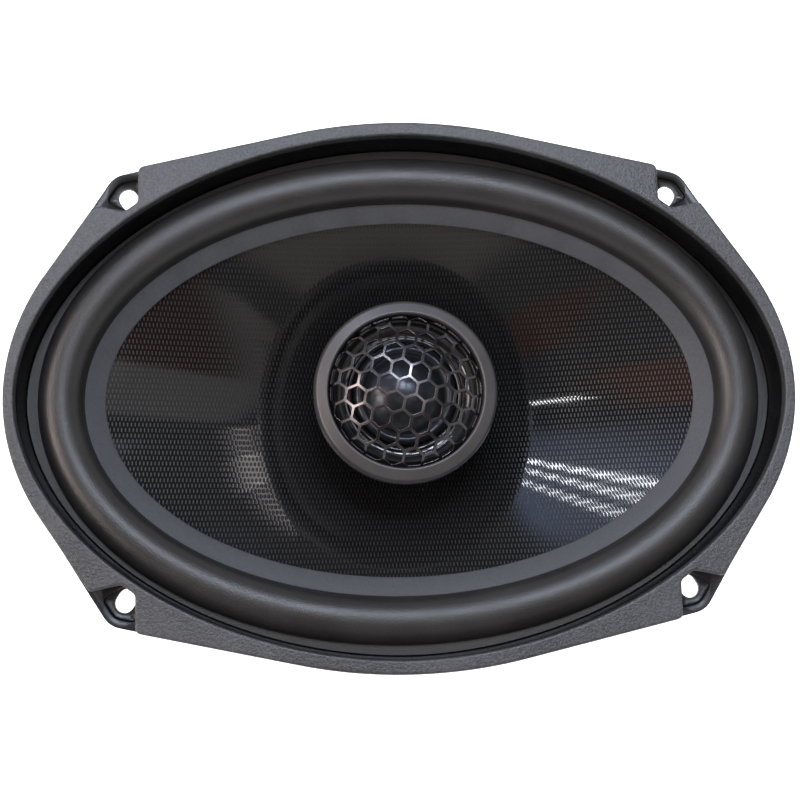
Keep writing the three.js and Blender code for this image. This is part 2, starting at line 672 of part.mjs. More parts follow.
function terminalBoard() {
  const half = BOARD.width / 2;
  const plate = block([-half, half], [BOARD_FACE, BOARD_BACK], [BOARD.low, BOARD.high]);
  return fromSolid(toSolid(plate).subtract(rivetBore(-TAB.offset)).subtract(rivetBore(TAB.offset)));
}

add("terminal_board", terminalBoard(), "phenolic");

// A push-on tab: a foot flat on the board and a blade bent straight out from it.
function terminalTab(x, width) {
  const half = width / 2;
  const face = BOARD_FACE - TAB_RIVET.play;
  const low = TAB.height - TAB.foot / 2;
  const foot = block([x - half, x + half], [face - TAB.thickness, face], [low, low + TAB.foot]);
  const blade = block([x - half, x + half], [face - TAB.reach, face], [low, low + TAB.thickness]);
  return fromSolid(toSolid(foot).add(toSolid(blade)).subtract(rivetBore(x)));
}

// A small rivet through tab and board, its head on the tab.
function tabRivet(x) {
  const { head, headHeight, shank, length, play } = TAB_RIVET;
  const face = BOARD_FACE - TAB.thickness - 2 * play;
  const rivet = turned(
    [
      [0, 0],
      [head * 0.8, 0],
      [head, headHeight * 0.4],
      [head, headHeight],
      [shank - play, headHeight],
      [shank - play, headHeight + length],
      [0, headHeight + length],
    ],
    SMALL_SEGMENTS,
  );
  rivet.rotateX(-Math.PI / 2);
  return rivet.translate(x, face - headHeight, TAB.rivetHeight);
}

const TABS = { positive: TAB.offset, negative: -TAB.offset };
for (const [pole, x] of Object.entries(TABS)) {
  add(`terminal_${pole}`, terminalTab(x, TAB_WIDTH[pole]), "tinPlate");
  add(`terminal_rivet_${pole}`, tabRivet(x), "brass");
}

const capacitorPlace = [
  CAPACITOR.distance * Math.cos(CAPACITOR_ANGLE),
  CAPACITOR.distance * Math.sin(CAPACITOR_ANGLE),
];
const capacitorTop = CAPACITOR.bottom + CAPACITOR.length;
const capacitor = turned([
  [0, CAPACITOR.bottom],
  [CAPACITOR.radius - CAPACITOR.edge, CAPACITOR.bottom],
  [CAPACITOR.radius, CAPACITOR.bottom + CAPACITOR.edge],
  [CAPACITOR.radius, capacitorTop - CAPACITOR.edge],
  [CAPACITOR.radius - CAPACITOR.edge, capacitorTop],
  [0, capacitorTop],
], SMALL_SEGMENTS * 2);
add("crossover_capacitor", capacitor.translate(...capacitorPlace, 0), "capSleeve");

// Braided leads, one on each side of the rear spoke.
for (const [pole, x] of Object.entries(TABS)) {
  const route = LEAD_ROUTE.map(([along, back, height]) => [Math.sign(x) * along, back, height]);
  add(`tinsel_lead_${pole}`, tube(route, LEAD.radius, LEAD.steps, LEAD.sides), "copper");
}

export default speaker;
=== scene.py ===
"""Oval two-way coaxial car speaker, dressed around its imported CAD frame.

Sizes are in millimetres in the part's own frame: the origin is on the axis at the bottom of the back plate, +Z points
out of the front, +X runs along the long axis and the terminals are on the -Y side. Meshes are written in metres.
"""

import logging
import math
from dataclasses import dataclass, field
from enum import Enum
from typing import Any, NamedTuple, Sequence

import bmesh
import bpy
import numpy as np
from mathutils import Matrix, Vector
from mathutils.geometry import delaunay_2d_cdt


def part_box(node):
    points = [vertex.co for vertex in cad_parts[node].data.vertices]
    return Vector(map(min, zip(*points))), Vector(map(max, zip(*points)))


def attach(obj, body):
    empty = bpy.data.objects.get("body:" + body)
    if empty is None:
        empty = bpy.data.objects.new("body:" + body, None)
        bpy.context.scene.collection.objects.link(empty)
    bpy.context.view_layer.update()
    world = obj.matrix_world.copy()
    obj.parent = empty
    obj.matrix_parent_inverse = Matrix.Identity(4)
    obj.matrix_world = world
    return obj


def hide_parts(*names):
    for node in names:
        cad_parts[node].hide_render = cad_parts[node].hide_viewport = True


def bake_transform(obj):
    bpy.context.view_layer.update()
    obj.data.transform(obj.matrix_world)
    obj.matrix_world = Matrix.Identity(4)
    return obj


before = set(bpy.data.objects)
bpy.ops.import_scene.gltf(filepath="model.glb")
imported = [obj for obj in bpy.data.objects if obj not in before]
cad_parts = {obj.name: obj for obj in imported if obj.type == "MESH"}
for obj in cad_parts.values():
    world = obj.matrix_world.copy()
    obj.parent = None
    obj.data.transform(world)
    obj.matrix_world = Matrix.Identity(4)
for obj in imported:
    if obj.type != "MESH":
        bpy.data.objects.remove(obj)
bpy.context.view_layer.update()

logging.basicConfig(level=logging.INFO, format="%(levelname)s %(message)s")
LOG = logging.getLogger("speaker")

MM = 0.001
TURN = 2 * math.pi
OVAL = np.linspace(0, TURN, 240, endpoint=False)
ROUND = np.linspace(0, TURN, 128, endpoint=False)
SMALL = np.linspace(0, TURN, 40, endpoint=False)


class Body(Enum):
    """The CAD bodies that pieces ride on."""

    FRAME = "frame"
    CONE = "cone_assembly"
    DIAPHRAGM = "tweeter_diaphragm"


class Extent(NamedTuple):
    """How far a round CAD node reaches from the axis and along it, in millimetres."""

    reach: float
    bottom: float
    top: float


def extent(node: str) -> Extent:
    """Reads a CAD node's reach along +X, its lowest and its highest level.

    Args:
        node: The CAD node's name.

    Returns:
        Its extent in millimetres.
    """
    low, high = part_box(node)
    return Extent(high.x / MM, low.z / MM, high.z / MM)


# ---- Mesh building ------------------------------------------------------------------------------------------


class Station(NamedTuple):
    """One level of a swept wall: two half-axes, a height, and the power of the superellipse."""

    a: float
    b: float
    z: float
    power: float = 2.0


def disc(radius: float, z: float) -> Station:
    """A round level of a turned piece."""
    return Station(radius, radius, z)


def reach(station: Station, angles: np.ndarray) -> np.ndarray:
    """Distance from the axis to an oval in each plan direction.

    Args:
        station: The oval.
        angles: Plan directions in radians.

    Returns:
        One distance for each direction.
    """
    a, b = max(station.a, 1e-9), max(station.b, 1e-9)
    across = (np.abs(np.cos(angles)) / a) ** station.power
    along = (np.abs(np.sin(angles)) / b) ** station.power
    return (across + along) ** (-1 / station.power)


def polar(angles: np.ndarray, radii: np.ndarray, z: Any) -> np.ndarray:
    """Points at given directions, distances and heights about the axis."""
    return np.column_stack([radii * np.cos(angles), radii * np.sin(angles), np.broadcast_to(z, angles.shape)])


def level(station: Station, angles: np.ndarray) -> np.ndarray:
    """The points of one oval level."""
    return polar(angles, reach(station, angles), station.z)


def soften(stations: Sequence[Station], run: float, steps: int = 3, closed: bool = True) -> list[Station]:
    """Rounds the corners of a section with short curves.

    Args:
        stations: The section's corners in order.
        run: How far before and after each corner its curve starts and ends, in millimetres.
        steps: Straight pieces in each curve.
        closed: Whether the section is a loop. The ends of an open one stay sharp.

    Returns:
        The rounded section.
    """
    corners = [np.array(s, float) for s in stations]
    made: list[Station] = []
    count = len(corners)
    for i, corner in enumerate(corners):
        if not closed and i in (0, count - 1):
            made.append(Station(*corner))
            continue
        ends = []
        for other in (corners[i - 1], corners[(i + 1) % count]):
            gap = other - corner
            length = math.hypot(gap[0], gap[2])
            ends.append(corner + gap * min(0.45, run / max(length, 1e-6)))
        for t in np.linspace(0, 1, steps + 1):
            point = (1 - t) ** 2 * ends[0] + 2 * t * (1 - t) * corner + t * t * ends[1]
            made.append(Station(*point))
    return made


class Net:
    """A mesh that is knotted together from loops of points."""

    def __init__(self) -> None:
        """Starts an empty net."""
        self.mesh = bmesh.new()

    def loop(self, points: np.ndarray) -> list[bmesh.types.BMVert]:
        """Adds one loop of points."""
        return [self.mesh.verts.new(point) for point in points]

    def bridge(self, first: list, second: list, skip: frozenset[int] = frozenset(), wrap: bool = True) -> None:
        """Joins two loops of equal length with quads.

        Args:
            first: One loop.
            second: The next loop.
            skip: Columns that stay open.
            wrap: Whether the last column joins back to the first.
        """
        count = len(first)
        for i in range(count if wrap else count - 1):
            if i not in skip:
                k = (i + 1) % count
                self.mesh.faces.new((first[i], first[k], second[k], second[i]))

    def fill(self, *loops: list) -> None:
        """Fills the flat, level area inside the first loop and outside the others."""
        verts = [vert for loop in loops for vert in loop]
        rings, start = [], 0
        for loop in loops:
            rings.append(list(range(start, start + len(loop))))
            start += len(loop)
        edges = [(ring[i - 1], ring[i]) for ring in rings for i in range(len(ring))]
        flat = [vert.co.xy for vert in verts]
        made, _, faces, sources, _, _ = delaunay_2d_cdt(flat, edges, [], 0, 1e-6)
        height = verts[0].co.z
        ends = [verts[s[0]] if s else self.mesh.verts.new((*made[i], height)) for i, s in enumerate(sources)]
        for face in faces:
            middle = sum((made[i] for i in face), Vector((0, 0))) / len(face)
            if sum(self.holds([flat[i] for i in ring], middle) for ring in rings) == 1:
                self.mesh.faces.new([ends[i] for i in face])

    @staticmethod
    def holds(outline: Sequence[Vector], place: Vector) -> bool:
        """Whether a closed outline goes round a place."""
        inside = False
        for here, there in zip(outline, [*outline[1:], outline[0]]):
            if (here.y > place.y) != (there.y > place.y):
                crossing = here.x + (place.y - here.y) / (there.y - here.y) * (there.x - here.x)
                inside ^= place.x < crossing
        return inside

    def finish(self, name: str, sharp: float = 50, upward: bool = False) -> bpy.types.Object:
        """Welds the net, turns its faces outwards and makes it an object.

        Args:
            name: The piece's name.
            sharp: Edges that turn by more than this many degrees stay sharp.
            upward: Whether an open sheet's widest faces have to look towards +Z.

        Returns:
            The new object, in the scene.
        """
        bmesh.ops.remove_doubles(self.mesh, verts=self.mesh.verts, dist=1e-4)
        bmesh.ops.dissolve_degenerate(self.mesh, edges=self.mesh.edges, dist=1e-5)
        bmesh.ops.recalc_face_normals(self.mesh, faces=self.mesh.faces)
        facing = sum(f.normal.z * f.calc_area() for f in self.mesh.faces)
        if upward and facing < 0:
            bmesh.ops.reverse_faces(self.mesh, faces=self.mesh.faces)
        bmesh.ops.scale(self.mesh, vec=(MM, MM, MM), verts=self.mesh.verts)
        data = bpy.data.meshes.new(name)
        self.mesh.to_mesh(data)
        self.mesh.free()
        data.shade_smooth()
        data.set_sharp_from_angle(angle=math.radians(sharp))
        piece = bpy.data.objects.new(name, data)
        bpy.context.scene.collection.objects.link(piece)
        return piece


def sweep(
    name: str, stations: Sequence[Station], angles: np.ndarray = ROUND, closed: bool = True, sharp: float = 50
) -> bpy.types.Object:
    """Sweeps a section of oval levels round the axis.

    Args:
        name: The piece's name.
        stations: The section, in order.
        angles: The plan directions of its columns.
        closed: Whether the section is a loop. An open one starts and ends on the axis.
        sharp: Edges that turn by more than this many degrees stay sharp.

    Returns:
        The new object.
    """
    net = Net()
    loops = [net.loop(level(station, angles)) for station in stations]
    for i in range(len(loops) if closed else len(loops) - 1):
        net.bridge(loops[i], loops[(i + 1) % len(loops)])
    return net.finish(name, sharp)


def turned(name: str, profile: Sequence[tuple[float, float]], run: float = 0.4, **options: Any) -> bpy.types.Object:
    """Turns a piece from a profile of radius and height, with its edges broken.

    Args:
        name: The piece's name.
        profile: Radius and height of each corner. It closes on itself unless it starts on the axis.
        run: Size of the broken edges.
        options: Passed on to sweep.

    Returns:
        The new object.
    """
    ring = profile[0][0] > 0
    stations = soften([disc(r, z) for r, z in profile], run, closed=ring)
    return sweep(name, stations, closed=ring, **options)


def shifted(piece: bpy.types.Object, matrix: Matrix) -> bpy.types.Object:
    """Moves a piece's mesh by a matrix in metres."""
    piece.data.transform(matrix)
    return piece


def arc(a: float, b: float, start: float, end: float, steps: int) -> list[np.ndarray]:
    """Points along an elliptic arc between two parameter angles in degrees."""
    turn = np.radians(np.linspace(start, end, steps + 1))
    return [np.array([a * math.cos(t), b * math.sin(t)]) for t in turn]


def corner(before: Sequence, tip: Sequence, after: Sequence, run: float, steps: int = 6) -> list[np.ndarray]:
    """Rounds one corner of an outline.

    Args:
        before: A point on the way in.
        tip: The corner.
        after: A point on the way out.
        run: How far from the corner the curve starts and ends.
        steps: Straight pieces in the curve.

    Returns:
        The curve's points.
    """
    before, tip, after = (np.array(p, float) for p in (before, tip, after))
    start = tip + (before - tip) / np.linalg.norm(before - tip) * run
    end = tip + (after - tip) / np.linalg.norm(after - tip) * run
    return [(1 - t) ** 2 * start + 2 * t * (1 - t) * tip + t * t * end for t in np.linspace(0, 1, steps + 1)]


def mirrored(quadrant: list[np.ndarray]) -> np.ndarray:
    """Makes a whole outline from its quadrant between the +X and the +Y pole."""
    first = np.array(quadrant)
    second = (first * [-1, 1])[::-1][1:]
    third = (first * [-1, -1])[1:]
    fourth = (first * [1, -1])[::-1][1:-1]
    return np.vstack([first, second, third, fourth])


def inset(outline: np.ndarray, distance: float) -> np.ndarray:
    """Draws an anticlockwise outline in by a small distance."""
    ahead = np.roll(outline, -1, axis=0) - np.roll(outline, 1, axis=0)
    ahead /= np.linalg.norm(ahead, axis=1)[:, None]
    return outline + np.column_stack([-ahead[:, 1], ahead[:, 0]]) * distance


def divided(outline: np.ndarray, step: float) -> np.ndarray:
    """Splits the long edges of a closed outline into pieces.

    Args:
        outline: The outline.
        step: The longest piece that stays whole, in millimetres.

    Returns:
        The same outline with more points.
    """
    made = []
    for here, there in zip(outline, np.roll(outline, -1, axis=0)):
        pieces = max(1, math.ceil(np.linalg.norm(there - here) / step))
        made += [here + (there - here) * i / pieces for i in range(pieces)]
    return np.array(made)


def at_height(outline: np.ndarray, z: float) -> np.ndarray:
    """Lifts a flat outline to a height."""
    return np.column_stack([outline, np.full(len(outline), z)])


def thicken(piece: bpy.types.Object, thickness: float, edge: float = 0.0) -> bpy.types.Object:
    """Gives a sheet its thickness behind its faces, and breaks its edges.

    Args:
        piece: The sheet.
        thickness: Sheet thickness.
        edge: Width of the broken edge, or 0 for none.

    Returns:
        The same object.
    """
    solid = piece.modifiers.new("thickness", "SOLIDIFY")
    solid.thickness = thickness * MM
    solid.offset = -1
    solid.use_even_offset = True
    if edge:
        bevel = piece.modifiers.new("broken edge", "BEVEL")
        bevel.width = edge * MM
        bevel.segments = 2
        bevel.limit_method = "ANGLE"
        bevel.angle_limit = math.radians(50)
        bevel.harden_normals = True
    return piece


# ---- Finishes -----------------------------------------------------------------------------------------------


def linear(colour: str) -> tuple[float, float, float, float]:
    """Turns an sRGB hex colour into linear light.

    Args:
        colour: A colour such as "#1b2c3d".

    Returns:
        Linear red, green, blue and an alpha of 1.
    """
    shares = [int(colour[i : i + 2], 16) / 255 for i in (1, 3, 5)]
    light = [s / 12.92 if s <= 0.04045 else ((s + 0.055) / 1.055) ** 2.4 for s in shares]
    return (light[0], light[1], light[2], 1.0)


def add_node(tree: bpy.types.NodeTree, kind: str, links: dict, values: dict, **settings: Any) -> bpy.types.Node:
    """Adds one shader node.

    Args:
        tree: The node tree.
        kind: The node's type, without its "ShaderNode" prefix.
        links: Output sockets to link, by input name or number.
        values: Socket values, by input name or number.
        settings: The node's own properties.

    Returns:
        The new node.
    """
    node = tree.nodes.new("ShaderNode" + kind)
    for name, value in settings.items():
        setattr(node, name, value)
    for key, value in values.items():
        node.inputs[key].default_value = value
    for key, source in links.items():
        tree.links.new(source, node.inputs[key])
    return node


def per_mm(size: float) -> float:
    """The texture scale whose features are about this many millimetres wide."""
    return 1 / (size * MM)


@dataclass(frozen=True)
class Finish:
    """What every surface here shares: a colour that wanders, uneven gloss and a fine relief.

    Attributes:
        light: sRGB colour of the paler parts.
        dark: sRGB colour of the darker parts.
        gloss: Roughness where the surface is smoothest and where it is dullest.
        grain: Width of the fine grain in millimetres.
        relief: Depth of the grain in millimetres.
        patch: Width of the broad unevenness in millimetres.
        metallic: 1 for bare metal.
        ior: Index of refraction. A metal keeps the default.
        coat: Share of clear top coat.
        coat_gloss: Roughness of the top coat.
        sheen: Share of fibre sheen.
    """

    light: str = "#808080"
    dark: str = "#707070"
    gloss: tuple[float, float] = (0.3, 0.4)
    grain: float = 0.5
    relief: float = 0.01
    patch: float = 14.0
    metallic: float = 0.0
    ior: float = 1.5
    coat: float = 0.0
    coat_gloss: float = 0.1
    sheen: float = 0.0

    def pattern(self, tree: bpy.types.NodeTree, place: bpy.types.NodeSocket) -> bpy.types.NodeSocket:
        """The fine relief, from 0 to 1. Here it is a cast or sprayed grain.

        Args:
            tree: The material's node tree.
            place: The point's place in the part's frame, in metres.

        Returns:
            The socket with the relief.
        """
        values = {"Scale": per_mm(self.grain), "Detail": 4.0, "Roughness": 0.6}
        return add_node(tree, "TexNoise", {"Vector": place}, values).outputs["Fac"]

    def dullness(
        self, tree: bpy.types.NodeTree, fine: bpy.types.NodeSocket, broad: bpy.types.NodeSocket
    ) -> bpy.types.NodeSocket:
        """The roughness. Here it follows the broad unevenness.

        Args:
            tree: The material's node tree.
            fine: The fine relief, from 0 to 1.
            broad: The broad unevenness, from 0 to 1.

        Returns:
            The socket with the roughness.
        """
        span = {"From Min": 0.3, "From Max": 0.7, "To Min": self.gloss[0], "To Max": self.gloss[1]}
        return add_node(tree, "MapRange", {"Value": broad}, span).outputs["Result"]

    def material(self) -> bpy.types.Material:
        """Builds the material, or finds it if it is there.

        Returns:
            The Blender material.
        """
        name = type(self).__name__
        if name in bpy.data.materials:
            return bpy.data.materials[name]
        made = bpy.data.materials.new(name)
        made.use_nodes = True
        tree = made.node_tree
        tree.nodes.clear()
        place = add_node(tree, "TexCoord", {}, {}).outputs["Object"]
        fine = self.pattern(tree, place)
        values = {"Scale": per_mm(self.patch), "Detail": 3.0, "Roughness": 0.55}
        broad = add_node(tree, "TexNoise", {"Vector": place}, values).outputs["Fac"]
        both = add_node(tree, "Mix", {2: fine, 3: broad}, {0: 0.4}, data_type="FLOAT").outputs[0]
        share = add_node(tree, "MapRange", {"Value": both}, {"From Min": 0.3, "From Max": 0.7}).outputs["Result"]
        tones = {6: linear(self.dark), 7: linear(self.light)}
        colour = add_node(tree, "Mix", {0: share}, tones, data_type="RGBA").outputs[2]
        rough = self.dullness(tree, fine, broad)
        bump = add_node(tree, "Bump", {"Height": fine}, {"Strength": 1.0, "Distance": self.relief * MM})
        fixed = {
            "Metallic": self.metallic,
            "IOR": self.ior,
            "Coat Weight": self.coat,
            "Coat Roughness": self.coat_gloss,
            "Sheen Weight": self.sheen,
        }
        links = {"Base Color": colour, "Roughness": rough, "Normal": bump.outputs["Normal"]}
        shader = add_node(tree, "BsdfPrincipled", links, fixed)
        add_node(tree, "OutputMaterial", {"Surface": shader.outputs["BSDF"]}, {})
        return made


@dataclass(frozen=True)
class RingMarked(Finish):
    """A surface with fine rings about the axis, as a lathe, a grinding wheel or a die leaves."""

    def pattern(self, tree: bpy.types.NodeTree, place: bpy.types.NodeSocket) -> bpy.types.NodeSocket:
        """Rings one grain apart, broken by a little noise."""
        values = {"Scale": TURN / 20 * per_mm(self.grain), "Distortion": 0.6, "Detail": 2.0, "Detail Scale": 2.0}
        rings = add_node(tree, "TexWave", {"Vector": place}, values, wave_type="RINGS", rings_direction="Z")
        return rings.outputs["Fac"]


@dataclass(frozen=True)
class Woven(Finish):
    """A plain weave along X and Y: in every other cell the thread along Y is on top, else the thread along X.

    Attributes:
        across: Spacing of the threads that run along Y, in millimetres.
        along: Spacing of the threads that run along X, in millimetres.
    """

    across: float = 1.0
    along: float = 1.0

    def pattern(self, tree: bpy.types.NodeTree, place: bpy.types.NodeSocket) -> bpy.types.NodeSocket:
        """Crowned threads that dive under each other."""
        cell = (per_mm(self.across), per_mm(self.along), 0.0)
        turn = tuple(math.pi * c for c in cell)
        angle = add_node(tree, "VectorMath", {0: place}, {1: turn}, operation="MULTIPLY").outputs[0]
        wave = add_node(tree, "VectorMath", {0: angle}, {}, operation="SINE").outputs[0]
        crown = add_node(tree, "VectorMath", {0: wave}, {}, operation="ABSOLUTE").outputs[0]
        parts = add_node(tree, "SeparateXYZ", {0: crown}, {}).outputs
        flat_x = add_node(tree, "Math", {0: parts[0]}, {1: 0.45}, operation="POWER").outputs[0]
        flat_y = add_node(tree, "Math", {0: parts[1]}, {1: 0.45}, operation="POWER").outputs[0]
        warp = add_node(tree, "Math", {0: parts[0], 1: flat_y}, {}, operation="MULTIPLY").outputs[0]
        weft = add_node(tree, "Math", {0: parts[1], 1: flat_x}, {}, operation="MULTIPLY").outputs[0]
        cells = add_node(
            tree, "VectorMath", {0: place}, {1: cell, 2: (0.0, 0.0, 0.5)}, operation="MULTIPLY_ADD"
        ).outputs[0]
        over = add_node(tree, "TexChecker", {"Vector": cells}, {"Scale": 1.0}).outputs["Fac"]
        return add_node(tree, "Mix", {0: over, 2: weft, 3: warp}, {}, data_type="FLOAT").outputs[0]


@dataclass(frozen=True)
class StovedSteel(Finish):
    """Pressed mild steel with black stoved e-coat: deep black, even semi-gloss, the faintest orange peel."""

    light: str = "#151516"
    dark: str = "#0b0b0d"
    gloss: tuple[float, float] = (0.2, 0.32)
    grain: float = 1.4
    relief: float = 0.012
    ior: float = 1.36


@dataclass(frozen=True)
class FoamGasket(Finish):
    """Skinned closed-cell foam, die-cut: dull charcoal with a tight leathery grain that catches light in specks."""

    light: str = "#494a4d"
    dark: str = "#0c0d0f"
    gloss: tuple[float, float] = (0.28, 0.4)
    grain: float = 0.75
    relief: float = 0.22
    patch: float = 30.0
    ior: float = 1.55


@dataclass(frozen=True)
class ButylRubber(Finish):
    """Butyl rubber, compression moulded in a vapour-blasted die: soft satin black, a broad mild highlight."""

    light: str = "#2f2e2e"
    dark: str = "#1e1d1d"
    gloss: tuple[float, float] = (0.3, 0.38)
    grain: float = 0.5
    relief: float = 0.08
    ior: float = 1.48


@dataclass(frozen=True)
class GluedRubber(Finish):
    """The same rubber's flat lip, pressed down on the cone and wiped with primer: dead matt, cloudy slate grey."""

    light: str = "#3e4044"
    dark: str = "#2b2d31"
    gloss: tuple[float, float] = (0.5, 0.62)
    grain: float = 0.8
    relief: float = 0.03
    patch: float = 9.0
    ior: float = 1.5


@dataclass(frozen=True)
class GlazedWeave(Finish):
    """Glass-fibre cloth pressed in black resin: a mirror-black skin that is dull on every crown of its plain weave.

    The dull crowns show as pale dashes where the skin mirrors something dark, and vanish where it mirrors a grey card.

    Attributes:
        across: Spacing along X of the crowns in one row, in millimetres.
        along: Spacing along Y of the rows, each half a crown to the side of the last, in millimetres.
        crown: Roughness on a crown.
    """

    light: str = "#1a1a1b"
    dark: str = "#0f0f10"
    gloss: tuple[float, float] = (0.03, 0.06)
    relief: float = 0.006
    patch: float = 40.0
    ior: float = 1.5
    across: float = 1.1
    along: float = 1.72
    crown: float = 0.42

    def pattern(self, tree: bpy.types.NodeTree, place: bpy.types.NodeSocket) -> bpy.types.NodeSocket:
        """Crowns in staggered rows: one cosine along X times a cosine of twice the period along Y."""
        turn = (TURN * per_mm(self.across), math.pi * per_mm(self.along), 0.0)
        angle = add_node(tree, "VectorMath", {0: place}, {1: turn}, operation="MULTIPLY").outputs[0]
        wave = add_node(tree, "VectorMath", {0: angle}, {}, operation="COSINE").outputs[0]
        parts = add_node(tree, "SeparateXYZ", {0: wave}, {}).outputs
        swell = add_node(tree, "Math", {0: parts[0], 1: parts[1]}, {}, operation="MULTIPLY").outputs[0]
        span = {"From Min": -1.0, "From Max": 1.0, "To Min": 0.0, "To Max": 1.0}
        return add_node(tree, "MapRange", {"Value": swell}, span).outputs["Result"]

    def dullness(
        self, tree: bpy.types.NodeTree, fine: bpy.types.NodeSocket, broad: bpy.types.NodeSocket
    ) -> bpy.types.NodeSocket:
        """The roughness: dull on the crowns and glossy in the resin between them."""
        span = {"From Min": 0.62, "From Max": 0.78, "To Max": self.crown}
        between = super().dullness(tree, fine, broad)
        return add_node(tree, "MapRange", {"Value": fine, "To Min": between}, span).outputs["Result"]


@dataclass(frozen=True)
class PolyimideFilm(Finish):
    """Amber polyimide film rolled to a tube: hard, smooth and honey brown."""

    light: str = "#a8641e"
    dark: str = "#7c430f"
    gloss: tuple[float, float] = (0.15, 0.25)
    relief: float = 0.004
    ior: float = 1.7
    coat: float = 0.3


@dataclass(frozen=True)
class EnamelledCopper(Finish):
    """Copper wire in red-brown enamel, wound turn by turn: each turn shows as one bright line."""

    light: str = "#c46a3c"
    dark: str = "#8a3f1f"
    gloss: tuple[float, float] = (0.22, 0.32)
    grain: float = 0.3
    relief: float = 0.004
    metallic: float = 1.0
    coat: float = 0.4


@dataclass(frozen=True)
class PressedFelt(Finish):
    """Wool felt, cut from sheet: fibrous, lightless black with a soft rim of sheen."""

    light: str = "#2a2a2b"
    dark: str = "#141415"
    gloss: tuple[float, float] = (0.9, 1.0)
    grain: float = 0.28
    relief: float = 0.12
    sheen: float = 0.35


@dataclass(frozen=True)
class ResinedCotton(Woven):
    """Cotton cloth dipped in phenolic resin and hot-pressed: tan, open, slightly waxy weave."""

    light: str = "#a58a55"
    dark: str = "#6d5227"
    gloss: tuple[float, float] = (0.55, 0.7)
    relief: float = 0.1
    across: float = 0.55
    along: float = 0.55


@dataclass(frozen=True)
class ZincPlate(RingMarked):
    """Turned steel, bright zinc plated: pale metal over fine tool rings, slightly cloudy."""

    light: str = "#c3c6ca"
    dark: str = "#8f9499"
    gloss: tuple[float, float] = (0.2, 0.36)
    grain: float = 0.45
    relief: float = 0.003
    metallic: float = 1.0


@dataclass(frozen=True)
class GroundFerrite(Finish):
    """Sintered strontium ferrite with ground faces: dense dark grey ceramic, dull, with tiny pits."""

    light: str = "#3a3b3e"
    dark: str = "#242527"
    gloss: tuple[float, float] = (0.5, 0.7)
    grain: float = 0.6
    relief: float = 0.02
    ior: float = 2.2


@dataclass(frozen=True)
class MouldedAbs(Finish):
    """Black ABS from a spark-eroded mould: fine even grain and a low satin shine."""

    light: str = "#19191b"
    dark: str = "#0e0e0f"
    gloss: tuple[float, float] = (0.3, 0.42)
    grain: float = 0.3
    relief: float = 0.012
    ior: float = 1.53


@dataclass(frozen=True)
class PolishedAbs(MouldedAbs):
    """The same ABS from a polished mould: piano black that shows its curves in hard highlights."""

    gloss: tuple[float, float] = (0.08, 0.14)
    relief: float = 0.002


@dataclass(frozen=True)
class SatinLacquer(Finish):
    """ABS ring sprayed with metal-flake grey lacquer: warm satin grey whose brightness rolls round the ring."""

    light: str = "#514f50"
    dark: str = "#3e3c3d"
    gloss: tuple[float, float] = (0.36, 0.44)
    grain: float = 0.3
    relief: float = 0.003
    metallic: float = 0.5
    coat: float = 0.1
    coat_gloss: float = 0.25


@dataclass(frozen=True)
class BlackNickel(Finish):
    """Stamped steel mesh in black nickel: dark smoky metal with hard bright glints on its edges."""

    light: str = "#646163"
    dark: str = "#424042"
    gloss: tuple[float, float] = (0.16, 0.24)
    grain: float = 0.4
    relief: float = 0.006
    metallic: float = 1.0


@dataclass(frozen=True)
class DomeFilm(Finish):
    """Thermoformed polyetherimide film with a smoked metal flash: thin, tight and mirror-like."""

    light: str = "#2b2f36"
    dark: str = "#1a1d22"
    gloss: tuple[float, float] = (0.26, 0.34)
    relief: float = 0.002
    metallic: float = 0.6
    coat: float = 0.2
    coat_gloss: float = 0.2


@dataclass(frozen=True)
class NickelPlate(Finish):
    """Neodymium disc in bright nickel: warm silver with a soft mirror."""

    light: str = "#c9c4ba"
    dark: str = "#a39d92"
    gloss: tuple[float, float] = (0.12, 0.2)
    relief: float = 0.002
    metallic: float = 1.0


@dataclass(frozen=True)
class PhenolicBoard(Finish):
    """Phenolic paper laminate, sawn to size: brown, resinous, with pressed paper fibres."""

    light: str = "#5a3a20"
    dark: str = "#3a2412"
    gloss: tuple[float, float] = (0.35, 0.5)
    grain: float = 0.8
    relief: float = 0.012
    ior: float = 1.6


@dataclass(frozen=True)
class TinPlate(Finish):
    """Tin-plated brass strip, stamped: soft white metal with a brushed cloudiness."""

    light: str = "#d8d6cf"
    dark: str = "#b0ada4"
    gloss: tuple[float, float] = (0.24, 0.38)
    grain: float = 0.5
    relief: float = 0.004
    metallic: float = 1.0


@dataclass(frozen=True)
class Brass(Finish):
    """Cold-headed brass: yellow metal, lightly tarnished."""

    light: str = "#c9aa5a"
    dark: str = "#94762f"
    gloss: tuple[float, float] = (0.2, 0.34)
    grain: float = 0.6
    relief: float = 0.004
    metallic: float = 1.0


@dataclass(frozen=True)
class ShrinkSleeve(Finish):
    """PVC sleeve shrunk on an aluminium can: glossy navy blue, drawn tight over the edges."""

    light: str = "#243a72"
    dark: str = "#182850"
    gloss: tuple[float, float] = (0.18, 0.28)
    grain: float = 1.2
    relief: float = 0.008
    ior: float = 1.54


@dataclass(frozen=True)
class TinselBraid(Finish):
    """Copper tinsel ribbon on textile cores, braided: limp, bright copper-gold strands."""

    light: str = "#d58a55"
    dark: str = "#9a5428"
    gloss: tuple[float, float] = (0.28, 0.42)
    grain: float = 0.18
    relief: float = 0.02
    metallic: float = 1.0


